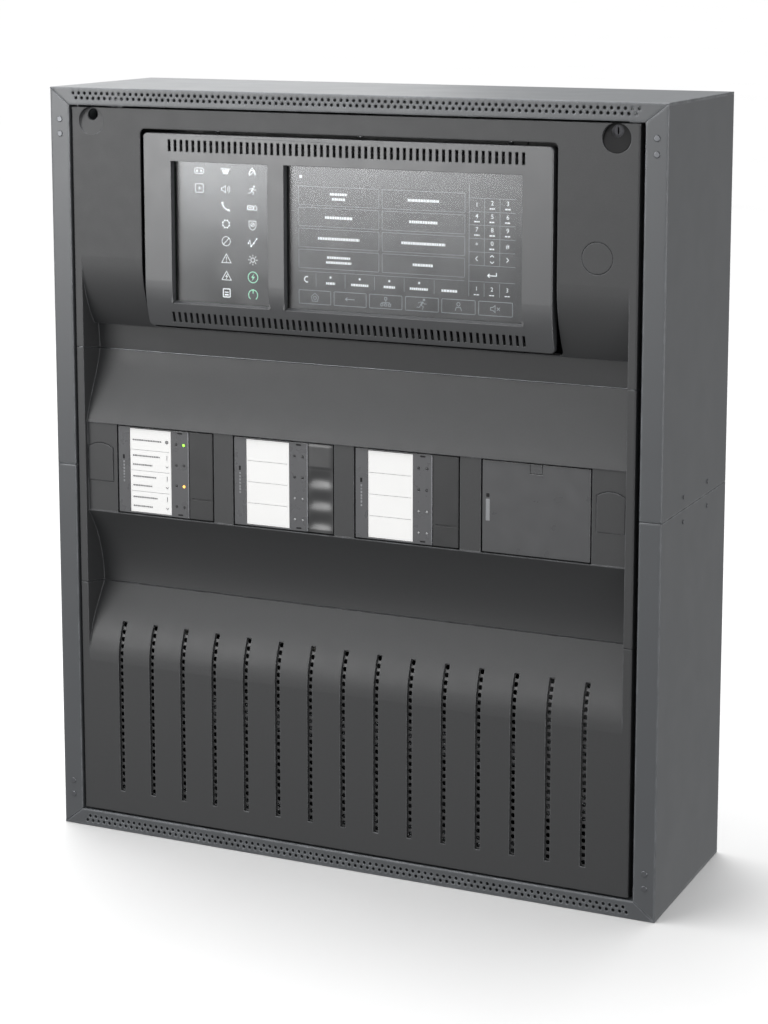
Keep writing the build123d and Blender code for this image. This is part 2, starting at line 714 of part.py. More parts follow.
def power_supply():
    """Metal-cased charger and supply, with cooling louvres and a row of screw terminals."""
    case = block(SUPPLY_X, (SUPPLY_FRONT, REAR), SUPPLY_DROPS)
    louvre_x = (SUPPLY_X[0] + 20, SUPPLY_X[1] - 20)
    for index in range(LOUVRE_COUNT):
        drop = SUPPLY_DROPS[0] + LOUVRE_START + index * LOUVRE_PITCH
        case -= block(louvre_x, (SUPPLY_FRONT - 1, SUPPLY_FRONT + 3), (drop, drop + 3))
    terminal_x = (SUPPLY_X[0] + 8, SUPPLY_X[1] - 24)
    terminal_depths = (SUPPLY_FRONT - SUPPLY_TERMINAL_DEPTH, SUPPLY_FRONT)
    return case + block(terminal_x, terminal_depths, SUPPLY_TERMINAL_DROPS)


def bent_lead(points):
    """Round cable along straight runs joined by tangent arcs."""
    path = FilletPolyline(*[place(*point) for point in points], radius=LEAD_BEND)
    start = Plane(origin=path @ 0, z_dir=path % 0)
    return sweep(start * Circle(LEAD_RADIUS), path=path)


def battery_lead(terminal_x, crest_drop, supply_x):
    """Lead from a battery terminal up, across and down into the supply's terminal block."""
    lead_depth = BATTERY_FRONT + LEAD_SETBACK
    end_depth = SUPPLY_FRONT - SUPPLY_TERMINAL_DEPTH / 2
    points = [
        (terminal_x, lead_depth, battery_top() - TERMINAL_HEIGHT),
        (terminal_x, lead_depth, crest_drop),
        (supply_x, end_depth, crest_drop),
        (supply_x, end_depth, SUPPLY_TERMINAL_DROPS[0]),
    ]
    return bent_lead(points)


def battery_link_lead():
    """Short lead that joins the two batteries in series."""
    start, end = terminal_xs()[1:3]
    depth = BATTERY_FRONT + LEAD_SETBACK
    top = battery_top() - TERMINAL_HEIGHT
    crest = top - LINK_RISE
    return bent_lead([(start, depth, top), (start, depth, crest), (end, depth, crest), (end, depth, top)])


# ---------------------------------------------------------------- door

def seam_drop(seam, wave_depth):
    """Drop of a cover seam at a depth behind the door's ledge plane: the seam runs down inwards."""
    return seam + SEAM_SLANT * wave_depth


def upper_wave():
    """Front line of the upper cover, from the top down to the first seam."""
    start = place(0, DOOR_SET, DOOR_TOP)
    bend = place(0, DOOR_SET, WAVE_START)
    crease = place(0, DOOR_SET + CREASE_DEPTH, CREASE_DROP)
    step = place(0, DOOR_SET + SEAM_DEPTH - 2.0, CREASE_DROP + 1.5)
    end = place(0, DOOR_SET + SEAM_DEPTH, seam_drop(SEAM_A, SEAM_DEPTH) - SEAM_HALF_GAP)
    return [Line(start, bend), TangentArc(bend, crease, tangent=(0, 0, -1)), Polyline(crease, step, end)]


def middle_wave():
    """Front line of the middle cover: out to the module band, flat, and back in."""
    start = place(0, DOOR_SET + SEAM_DEPTH, seam_drop(SEAM_A, SEAM_DEPTH) + SEAM_HALF_GAP)
    crest = place(0, DOOR_SET + BAND_DEPTH - BAND_STEP, BAND_TOP)
    band_top = place(0, DOOR_SET + BAND_DEPTH, BAND_TOP + 0.4)
    band_bottom = place(0, DOOR_SET + BAND_DEPTH, BAND_BOTTOM - 0.4)
    second_crest = place(0, DOOR_SET + BAND_DEPTH - BAND_STEP, BAND_BOTTOM)
    end = place(0, DOOR_SET + SEAM_DEPTH, seam_drop(SEAM_B, SEAM_DEPTH) - SEAM_HALF_GAP)
    rise = Spline(start, crest, tangents=[(0, -0.25, -1), (0, -0.25, -1)])
    fall = TangentArc(end, second_crest, tangent=(0, 0, 1))
    return [rise, Polyline(crest, band_top, band_bottom, second_crest), fall]


def lower_wave():
    """Front line of the lower cover, from the second seam out to the flat vented face."""
    start = place(0, DOOR_SET + SEAM_DEPTH, seam_drop(SEAM_B, SEAM_DEPTH) + SEAM_HALF_GAP)
    flat = place(0, DOOR_SET, WAVE_END)
    end = place(0, DOOR_SET, DOOR_BOTTOM)
    return [Spline(start, flat, tangents=[(0, -0.6, -1), (0, 0, -1)]), Line(flat, end)]


def cover_shell(wave, ledge_top, ledge_bottom):
    """Wave-shaped panel with flat ledges, the walls between them, and turned-back side edges.

    The skin is the wave line moved back by the wall thickness. Each wall fills from the ledge
    plane back to the skin.
    """
    ends = sorted([edge @ 0 for edge in wave] + [edge @ 1 for edge in wave], key=lambda point: point.Z)
    low, high = ends[0], ends[-1]
    back = Vector(0, COVER_WALL, 0)
    rear_line = [Pos(*back) * edge for edge in wave]
    skin_edges = wave + [Line(low, low + back), Line(high, high + back)] + rear_line
    skin = side_prism(skin_edges, (FIELD_LEFT - COVER_WALL, FIELD_RIGHT + COVER_WALL))
    ledge_high = place(0, DOOR_SET, ledge_top)
    ledge_low = place(0, DOOR_SET, ledge_bottom)
    wall_edges = rear_line + [Line(low + back, ledge_low)]
    wall_edges += [Line(ledge_low, ledge_high), Line(ledge_high, high + back)]
    wall_edges = [edge for edge in wall_edges if edge.length > 0.001]
    shell = skin
    for x in (FIELD_LEFT - COVER_WALL, FIELD_RIGHT):
        shell += side_prism(wall_edges, (x, x + COVER_WALL))
    drops = (ledge_top, ledge_bottom)
    shell += block((DOOR_LEFT, FIELD_LEFT), (DOOR_SET, DOOR_SET + COVER_WALL), drops)
    shell += block((FIELD_RIGHT, DOOR_RIGHT), (DOOR_SET, DOOR_SET + COVER_WALL), drops)
    shell += block((DOOR_LEFT, DOOR_LEFT + COVER_WALL), (DOOR_SET, COVER_EDGE), drops)
    shell += block((DOOR_RIGHT - COVER_WALL, DOOR_RIGHT), (DOOR_SET, COVER_EDGE), drops)
    corners = edges_along(shell, Axis.Z).group_by(Axis.Y)[0]
    outer = [corners.sort_by(Axis.X)[0], corners.sort_by(Axis.X)[-1]]
    return fillet(outer, 1.5)


def top_and_bottom_edge(drop_range):
    return block((DOOR_LEFT, DOOR_RIGHT), (DOOR_SET + 0.5, COVER_EDGE), drop_range)


def dimple(x):
    """Round pocket that deepens towards its top, where the lock hole is."""
    wedge_points = [
        place(0, DOOR_SET - 1, DIMPLE_DROP - DIMPLE_RADIUS - 1),
        place(0, DOOR_SET + DIMPLE_DEPTH, DIMPLE_DROP - DIMPLE_RADIUS - 1),
        place(0, DOOR_SET, DIMPLE_DROP + DIMPLE_RADIUS),
        place(0, DOOR_SET - 1, DIMPLE_DROP + DIMPLE_RADIUS),
    ]
    wedge = side_prism(Polyline(*wedge_points, close=True), (x - DIMPLE_RADIUS, x + DIMPLE_RADIUS))
    return wedge & round_bar(DIMPLE_RADIUS, x, DIMPLE_DROP, (-2, 12))


def upper_cover():
    """Cover round the controller, with the lock pockets and the blanked round hole."""
    cover = cover_shell(upper_wave(), DOOR_TOP, SEAM_A - SEAM_HALF_GAP)
    cover += top_and_bottom_edge((DOOR_TOP, DOOR_TOP + COVER_WALL))
    opening = block(
        (DOOR_CENTRE - BEZEL_HALF_WIDTH - BEZEL_GAP, DOOR_CENTRE + BEZEL_HALF_WIDTH + BEZEL_GAP),
        (-2, 50),
        (BEZEL_TOP - BEZEL_GAP + 0.3, BEZEL_BOTTOM + BEZEL_GAP - 0.3),
    )
    cover -= fillet(edges_along(opening, Axis.Y), 5.0)
    for x in (DOOR_CENTRE - LOCK_X, DOOR_CENTRE + LOCK_X):
        boss = round_bar(DIMPLE_RADIUS + 1.5, x, DIMPLE_DROP, (DOOR_SET + 1, DOOR_SET + DIMPLE_DEPTH + 2))
        boss -= block((x - 30, x + 30), (0, 20), (0, DOOR_TOP))
        cover += boss
        cover -= dimple(x)
        cover -= round_bar(LOCK_HOLE_RADIUS, x, LOCK_DROP, (-2, 30))
        cover -= round_bar(SLEEVE_FLANGE + 0.3, x, LOCK_DROP, (DOOR_SET + DIMPLE_DEPTH + 2, 30))
    cover -= round_bar(BLANK_RADIUS, BLANK_X, BLANK_DROP, (-2, 30))
    return cover - upright_bar(2.2, HINGE_X, HINGE_DEPTH, (DOOR_TOP - 1, DOOR_TOP + 4))


def latch_outline(x, gap):
    """Arch-topped outline of a press latch: a rectangle under a shallow arc."""
    half = LATCH_HALF_WIDTH + gap
    left, right = x - half, x + half
    shoulder = LATCH_TOP + 4.0
    base = LATCH_BOTTOM + gap
    start, end = place(left, 0, shoulder), place(right, 0, shoulder)
    arc = ThreePointArc(start, place(x, 0, LATCH_TOP - gap), end)
    rest = Polyline(end, place(right, 0, base), place(left, 0, base), start)
    return make_face([arc, rest])


def latch_prism(x, gap, depth_range):
    face = Pos(0, depth_range[0], 0) * latch_outline(x, gap)
    return extrude(face, amount=depth_range[1] - depth_range[0], dir=(0, 1, 0))


def middle_cover():
    """Cover with the four module openings and the two latch openings."""
    cover = cover_shell(middle_wave(), SEAM_A + SEAM_HALF_GAP, SEAM_B - SEAM_HALF_GAP)
    for index in range(SLOT_COUNT):
        x = slot_centre(index)
        opening = (x - SLOT_WIDTH / 2, x + SLOT_WIDTH / 2)
        cover -= block(opening, (-2, 20), (BAND_TOP + 0.4, BAND_BOTTOM - 0.4))
    for side in (-1, 1):
        cover -= latch_prism(DOOR_CENTRE + side * LATCH_X, LATCH_GAP, (-2, 20))
    return cover


def lower_cover():
    """Vented cover of the power supply and batteries."""
    cover = cover_shell(lower_wave(), SEAM_B + SEAM_HALF_GAP, DOOR_BOTTOM)
    cover += top_and_bottom_edge((DOOR_BOTTOM - COVER_WALL, DOOR_BOTTOM))
    slots = []
    for index in range(VENT_COUNT):
        x = vent_x(index)
        slots.append(block((x - VENT_WIDTH / 2, x + VENT_WIDTH / 2), (-2, 30), (VENT_TOP, VENT_BOTTOM)))
    return cover - slots - upright_bar(3.3, HINGE_X, HINGE_DEPTH, (DOOR_BOTTOM - 4, DOOR_BOTTOM + 1))


def vent_x(index):
    return DOOR_CENTRE + (index - (VENT_COUNT - 1) / 2) * VENT_PITCH


def perforated_plate():
    """Steel sheet that follows the vented cover, with a column of round holes behind each slot."""
    front = COVER_WALL + PLATE_GAP
    front_line = [Pos(0, front, 0) * edge for edge in lower_wave()]
    rear_line = [Pos(0, front + PLATE_SHEET, 0) * edge for edge in lower_wave()]
    ends = [Line(front_line[0] @ 0, rear_line[0] @ 0), Line(front_line[-1] @ 1, rear_line[-1] @ 1)]
    sheet = side_prism(front_line + rear_line + ends, CROSSBAR_RUN)
    plate = sheet & block(CROSSBAR_RUN, (0, STILE_BACK), (VENT_TOP - 6, VENT_BOTTOM + 8))
    holes = []
    for column in range(VENT_COUNT):
        for row in range(PLATE_HOLES):
            drop = VENT_TOP + (row + 0.5) * (VENT_BOTTOM - VENT_TOP) / PLATE_HOLES
            holes.append(round_bar(PLATE_HOLE_RADIUS, vent_x(column), drop, (0, STILE_BACK)))
    return plate - holes


def blanking_plug():
    """Push-in plug, flush in the round hole, with a rim behind the cover."""
    cover_back = DOOR_SET + COVER_WALL
    plug = round_bar(BLANK_RADIUS - 0.4, BLANK_X, BLANK_DROP, (DOOR_SET, cover_back))
    return plug + round_bar(BLANK_RADIUS + 2, BLANK_X, BLANK_DROP, (cover_back, cover_back + 1.5))


def door_stile_left():
    """Hinge-side upright of the door, with a bored ear at each end."""
    inner = CROSSBAR_RUN[0]
    front = DOOR_SET + COVER_WALL
    top, bottom = DOOR_TOP + EAR_INSET, DOOR_BOTTOM - EAR_INSET
    stile = block((STILE_RUN[0], inner), (front, STILE_BACK), (top, bottom))
    for drops in ((top, top + EAR_HEIGHT), (bottom - EAR_HEIGHT, bottom)):
        ear_x = (DOOR_LEFT + COVER_WALL + 0.1, inner)
        stile += block(ear_x, (front, HINGE_DEPTH + 5), drops)
        stile -= pin_bore((drops[0] - 1, drops[1] + 1))
    return stile


def door_stile_right():
    """Lock-side upright of the door, starting below the lock cam's sweep."""
    x_range = (CROSSBAR_RUN[1], STILE_RUN[1])
    drops = (LOCK_DROP + CAM_LENGTH, DOOR_BOTTOM - EAR_INSET)
    return block(x_range, (DOOR_SET + COVER_WALL, STILE_BACK), drops)


def door_crossbar(seam):
    """Folded bar behind a cover seam, between the two stiles."""
    middle = seam_drop(seam, SEAM_DEPTH)
    front = DOOR_SET + SEAM_DEPTH + COVER_WALL
    top, bottom = middle - 9, middle + 9
    bar = block(CROSSBAR_RUN, (front, front + FRAME_SHEET), (top, bottom))
    return bar + block(CROSSBAR_RUN, (front, STILE_BACK), (bottom - FRAME_SHEET, bottom))


def lock_sleeve():
    """Fixed body of the lock, through the right pocket and clamped behind the cover."""
    x = DOOR_CENTRE + LOCK_X
    pocket = DOOR_SET + DIMPLE_DEPTH
    tube_depths = (pocket - 1, CAM_DEPTH - 0.5)
    sleeve = round_bar(LOCK_HOLE_RADIUS - RUNNING_GAP, x, LOCK_DROP, tube_depths)
    sleeve += round_bar(SLEEVE_FLANGE, x, LOCK_DROP, (pocket + 2, pocket + 5))
    return sleeve - round_bar(BARREL_RADIUS + RUNNING_GAP, x, LOCK_DROP, (-2, 30))


def lock_barrel():
    """Turning barrel with a key slot in its front."""
    x = DOOR_CENTRE + LOCK_X
    pocket = DOOR_SET + DIMPLE_DEPTH
    barrel = round_bar(BARREL_RADIUS, x, LOCK_DROP, (pocket - 0.6, CAM_DEPTH))
    slot_x = (x - KEY_SLOT[0] / 2, x + KEY_SLOT[0] / 2)
    slot_drops = (LOCK_DROP - KEY_SLOT[1] / 2, LOCK_DROP + KEY_SLOT[1] / 2)
    return barrel - block(slot_x, (0, pocket + 3), slot_drops)


def lock_cam():
    """Flat cam on the barrel's rear end, hanging down when unlocked."""
    x = DOOR_CENTRE + LOCK_X
    depths = (CAM_DEPTH, CAM_DEPTH + CAM_THICKNESS)
    hub = round_bar(CAM_WIDTH / 2 + 1, x, LOCK_DROP, depths)
    arm = block((x - CAM_WIDTH / 2, x + CAM_WIDTH / 2), depths, (LOCK_DROP, LOCK_DROP + CAM_LENGTH))
    return hub + arm


def latch_button(side):
    """Arch-topped press latch with a rim that keeps it behind the cover."""
    x = DOOR_CENTRE + side * LATCH_X
    face_depth = DOOR_SET + BAND_DEPTH - LATCH_RISE
    cover_back = DOOR_SET + BAND_DEPTH + COVER_WALL
    rim_front = cover_back + LATCH_PLAY
    rim_back = rim_front + LATCH_RIM
    button = latch_prism(x, 0, (face_depth, rim_front))
    rim_x = sorted((x - side * (LATCH_HALF_WIDTH + 2), x + side * (LATCH_HALF_WIDTH - 1)))
    rim = block(rim_x, (rim_front, rim_back), (LATCH_TOP + 2, LATCH_BOTTOM + 2))
    stem_drops = (LATCH_TOP + 14, LATCH_TOP + 20)
    stem = block((x - 3, x + 3), (rim_back, cover_back + LATCH_STEM), stem_drops)
    return button + rim + stem


def build():
    """All named pieces of the panel."""
    pieces = {
        "top_panel": end_panel(1),
        "bottom_panel": end_panel(-1),
        "rear_panel": rear_panel(),
        "cable_entry_trims": cable_entry_trims(),
        "housing_rivets": housing_rivets(),
        "hinge_pins": hinge_pins(),
        "earth_stud": earth_stud(),
        "mounting_rails": mounting_rails(),
        "bus_board": bus_board(),
        "bus_connectors": bus_connectors(),
        "controller_bezel": controller_bezel(),
        "icon_window": window_pane(ICON_WINDOW),
        "display_window": window_pane(DISPLAY_WINDOW),
        "controller_case": controller_case(),
        "display_panel": display_panel(),
        "controller_board": controller_board(),
        "alarm_buzzer": alarm_buzzer(),
        "controller_cable": controller_cable(),
        "indicator_lamps": indicator_lamps(),
        "blank_plate": blank_plate(),
        "battery_left": battery(0),
        "battery_right": battery(1),
        "battery_terminals": battery_terminals(),
        "battery_tray": battery_tray(),
        "battery_strap": battery_strap(),
        "power_supply": power_supply(),
        "battery_lead_red": battery_lead(terminal_xs()[3], RED_CREST, SUPPLY_X[0] + 20),
        "battery_lead_black": battery_lead(terminal_xs()[0], BLACK_CREST, SUPPLY_X[0] + 36),
        "battery_link_lead": battery_link_lead(),
        "upper_cover": upper_cover(),
        "middle_cover": middle_cover(),
        "lower_cover": lower_cover(),
        "perforated_plate": perforated_plate(),
        "blanking_plug": blanking_plug(),
        "door_stile_left": door_stile_left(),
        "door_stile_right": door_stile_right(),
        "door_crossbar_upper": door_crossbar(SEAM_A),
        "door_crossbar_lower": door_crossbar(SEAM_B),
        "lock_sleeve": lock_sleeve(),
        "lock_barrel": lock_barrel(),
        "lock_cam": lock_cam(),
    }
    for side, side_name in ((-1, "left"), (1, "right")):
        pieces["side_panel_upper_" + side_name] = side_panel(side, True)
        pieces["side_panel_lower_" + side_name] = side_panel(side, False)
        pieces["mounting_post_" + side_name] = mounting_post(side)
        pieces["latch_button_" + side_name] = latch_button(side)
    for index in range(SLOT_COUNT - 1):
        prefix = f"module_{index + 1}_"
        pieces[prefix + "body"] = module_body(index)
        pieces[prefix + "label"] = module_label(index)
        pieces[prefix + "terminal_cover"] = module_terminal_cover(index)
    return pieces


for name, shape in build().items():
    export_step(shape, f"parts/{name}.step")
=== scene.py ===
import json
import math
import random

import bmesh
import bpy
from mathutils import Matrix, Vector


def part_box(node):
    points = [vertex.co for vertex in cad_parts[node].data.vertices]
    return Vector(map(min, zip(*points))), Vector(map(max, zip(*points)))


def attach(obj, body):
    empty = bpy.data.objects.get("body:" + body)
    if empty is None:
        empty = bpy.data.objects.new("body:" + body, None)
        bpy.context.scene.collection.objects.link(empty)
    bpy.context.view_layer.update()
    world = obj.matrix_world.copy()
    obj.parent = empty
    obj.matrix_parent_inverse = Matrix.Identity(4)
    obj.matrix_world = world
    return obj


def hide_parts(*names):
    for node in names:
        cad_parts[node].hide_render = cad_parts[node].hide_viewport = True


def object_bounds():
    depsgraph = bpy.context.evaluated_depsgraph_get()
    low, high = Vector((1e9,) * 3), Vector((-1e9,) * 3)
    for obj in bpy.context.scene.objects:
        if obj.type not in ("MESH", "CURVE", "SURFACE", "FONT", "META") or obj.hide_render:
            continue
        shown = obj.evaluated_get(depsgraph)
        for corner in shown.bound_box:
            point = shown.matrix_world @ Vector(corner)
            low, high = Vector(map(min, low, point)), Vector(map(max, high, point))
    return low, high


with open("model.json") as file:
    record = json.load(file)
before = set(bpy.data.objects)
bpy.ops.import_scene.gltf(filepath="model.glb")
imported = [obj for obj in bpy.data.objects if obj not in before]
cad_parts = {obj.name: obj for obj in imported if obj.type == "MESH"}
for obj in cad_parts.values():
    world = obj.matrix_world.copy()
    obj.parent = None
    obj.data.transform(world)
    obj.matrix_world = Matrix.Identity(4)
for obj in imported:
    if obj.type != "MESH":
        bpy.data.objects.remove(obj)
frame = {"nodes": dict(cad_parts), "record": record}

cad_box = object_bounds()
nodes = frame["nodes"]
slot_of = {row["node"]: row["material_slot"] for row in frame["record"]["subparts"]}
dice = random.Random(11)
MM = 0.001


# ---------------------------------------------------------------- materials

class Look:
    """A node material in the making. Sizes are in metres on the object."""

    def __init__(self, name):
        self.material = bpy.data.materials.new(name)
        self.material.use_nodes = True
        self.nodes = self.material.node_tree.nodes
        self.links = self.material.node_tree.links
        self.nodes.clear()
        self.output = self.nodes.new("ShaderNodeOutputMaterial")
        self.shader = self.nodes.new("ShaderNodeBsdfPrincipled")
        self.links.new(self.shader.outputs[0], self.output.inputs[0])
        self.place = self.nodes.new("ShaderNodeTexCoord").outputs["Object"]

    def put(self, value, socket):
        """A constant or another node's output into a socket."""
        if isinstance(value, bpy.types.NodeSocket):
            self.links.new(value, socket)
        elif isinstance(value, tuple) and len(value) == 3 and socket.type == "RGBA":
            socket.default_value = (*value, 1.0)
        else:
            socket.default_value = value

    def noise(self, size, detail=2.0, stretch=(1, 1, 1)):
        mapping = self.nodes.new("ShaderNodeMapping")
        mapping.inputs["Scale"].default_value = stretch
        self.put(self.place, mapping.inputs["Vector"])
        texture = self.nodes.new("ShaderNodeTexNoise")
        texture.inputs["Scale"].default_value = 1.0 / size
        texture.inputs["Detail"].default_value = detail
        self.put(mapping.outputs[0], texture.inputs["Vector"])
        return texture.outputs["Fac"]

    def cells(self, size):
        texture = self.nodes.new("ShaderNodeTexVoronoi")
        texture.inputs["Scale"].default_value = 1.0 / size
        self.put(self.place, texture.inputs["Vector"])
        return texture.outputs["Distance"]

    def remap(self, value, low, high, to_low, to_high):
        node = self.nodes.new("ShaderNodeMapRange")
        for socket, item in zip(node.inputs, (value, low, high, to_low, to_high)):
            self.put(item, socket)
        return node.outputs[0]

    def maths(self, operation, first, second):
        node = self.nodes.new("ShaderNodeMath")
        node.operation = operation
        node.use_clamp = True
        self.put(first, node.inputs[0])
        self.put(second, node.inputs[1])
        return node.outputs[0]

    def blend(self, factor, first, second):
        node = self.nodes.new("ShaderNodeMix")
        node.data_type = "RGBA"
        self.put(factor, node.inputs[0])
        self.put(first, node.inputs[6])
        self.put(second, node.inputs[7])
        return node.outputs[2]

    def edges(self, radius):
        """Rounded normal near sharp edges, and how near an edge the point is, from 0 to 1."""
        bevel = self.nodes.new("ShaderNodeBevel")
        bevel.samples = 4
        bevel.inputs["Radius"].default_value = radius
        geometry = self.nodes.new("ShaderNodeNewGeometry")
        dot = self.nodes.new("ShaderNodeVectorMath")
        dot.operation = "DOT_PRODUCT"
        self.put(bevel.outputs[0], dot.inputs[0])
        self.put(geometry.outputs["True Normal"], dot.inputs[1])
        near = self.remap(dot.outputs["Value"], 0.99, 0.85, 0.0, 1.0)
        return bevel.outputs[0], near

    def bump(self, height, depth, normal=None):
        node = self.nodes.new("ShaderNodeBump")
        node.inputs["Distance"].default_value = depth
        self.put(height, node.inputs["Height"])
        if normal is not None:
            self.put(normal, node.inputs["Normal"])
        return node.outputs[0]

    def set(self, **values):
        for name, value in values.items():
            self.put(value, self.shader.inputs[name.replace("_", " ").title()])
        return self


def tint(colour, factor):
    return tuple(min(1.0, part * factor) for part in colour)


def surface(name, colour, rough, grain=0.0006, depth=0.00003, tone=0.06, patch=0.05, spread=0.05,
            metal=0.0, wear_and_highlight=0.35, edge_radius=0.0007, stretch=(1, 1, 1), level=0.5, rub_and_highlight=2.2):
    """Fine-grained solid finish: blotches, grain, softened edges, and edges lightened as rubbed wear and
    painted highlight.
    """
    look = Look(name)
    broad = look.noise(patch, 3.0)
    fine = look.noise(grain, 2.0, stretch)
    mottled = look.blend(broad, tint(colour, 1 - tone), tint(colour, 1 + tone))
    grained = look.blend(look.remap(fine, 0.35, 0.65, 0.0, 1.0), tint(colour, 1 - 1.5 * tone), mottled)
    normal, near = look.edges(edge_radius)
    # Edges are lightened here: partly rubbed wear, partly a painted highlight along edges, folds and seams.
    rubbed_and_highlit = look.maths("MULTIPLY", near, look.remap(look.noise(0.012, 4.0), 0.4, 0.7, 0.3 * wear_and_highlight, wear_and_highlight))
    look.set(
        base_color=look.blend(rubbed_and_highlit, grained, tint(colour, rub_and_highlight if metal < 0.5 else 1.3)),
        roughness=look.remap(look.noise(patch * 0.4, 4.0), 0.3, 0.7, rough - spread, rough + spread),
        metallic=metal,
        normal=look.bump(fine, depth, normal),
    )
    look.shader.inputs["Specular IOR Level"].default_value = level
    return look.material


def glass(name):
    """Smoked pane: tinted see-through with a soft surface reflection."""
    look = Look(name)
    look.nodes.remove(look.shader)
    clear = look.nodes.new("ShaderNodeBsdfTransparent")
    smoke = look.noise(0.09, 2.0)
    look.put(look.blend(smoke, (0.80, 0.81, 0.82), (0.86, 0.87, 0.88)), clear.inputs["Color"])
    gloss = look.nodes.new("ShaderNodeBsdfGlossy")
    gloss.inputs["Color"].default_value = (1.0, 1.0, 1.0, 1.0)
    look.put(look.remap(look.noise(0.03, 4.0), 0.3, 0.7, 0.20, 0.26), gloss.inputs["Roughness"])
    fresnel = look.nodes.new("ShaderNodeFresnel")
    fresnel.inputs["IOR"].default_value = 1.5
    mix = look.nodes.new("ShaderNodeMixShader")
    for item, socket in zip((fresnel.outputs[0], clear.outputs[0], gloss.outputs[0]), mix.inputs):
        look.links.new(item, socket)
    look.links.new(mix.outputs[0], look.output.inputs[0])
    return look.material


def glowing(name, colour, strength, unevenness=0.12, size=0.004):
    """Glowing surface: back-lit symbol or lamp with slightly uneven light through a diffuser; on the label
    card the glow is painted light, as the card is no lamp.
    """
    look = Look(name)
    uneven = look.noise(size, 2.0)
    lit = look.blend(uneven, tint(colour, 1 - unevenness), colour)
    look.set(base_color=lit, emission_color=lit, roughness=look.remap(uneven, 0.0, 1.0, 0.3, 0.45))
    look.shader.inputs["Emission Strength"].default_value = strength
    return look.material


def brushed(name, colour, rough, stretch):
    """Plated or brushed steel with a drawn grain and cloudy plating."""
    look = Look(name)
    patch = 0.06
    grain = look.noise(0.0011, 3.0, stretch)
    cloud = look.cells(patch * 0.35)
    mixed = look.blend(cloud, tint(colour, 0.88), tint(colour, 1.08))
    streaked = look.blend(look.remap(grain, 0.3, 0.7, 0.0, 0.5), mixed, tint(colour, 0.8))
    normal, near = look.edges(0.0006)
    look.set(
        base_color=look.blend(look.maths("MULTIPLY", near, 0.4), streaked, tint(colour, 1.25)),
        metallic=look.remap(near, 0.0, 1.0, 0.92, 1.0),
        roughness=look.remap(look.noise(patch, 3.0, stretch), 0.3, 0.7, rough - 0.07, rough + 0.07),
        normal=look.bump(grain, 0.00001, normal),
    )
    return look.material


def circuit(name):
    """Green solder mask over copper tracks."""
    look = Look(name)
    tracks = look.nodes.new("ShaderNodeTexBrick")
    tracks.inputs["Scale"].default_value = 120.0
    tracks.inputs["Mortar Size"].default_value = 0.035
    swap = look.nodes.new("ShaderNodeMapping")
    swap.inputs["Rotation"].default_value = (math.pi / 2, 0, 0)
    look.put(look.place, swap.inputs["Vector"])
    look.put(swap.outputs[0], tracks.inputs["Vector"])
    mask = look.blend(look.noise(0.02, 3.0), (0.012, 0.085, 0.03), (0.02, 0.12, 0.045))
    look.set(
        base_color=look.blend(tracks.outputs["Fac"], mask, (0.05, 0.24, 0.08)),
        roughness=look.remap(look.noise(0.01, 2.0), 0.3, 0.7, 0.25, 0.4),
        normal=look.bump(tracks.outputs["Fac"], 0.00003),
    )
    return look.material


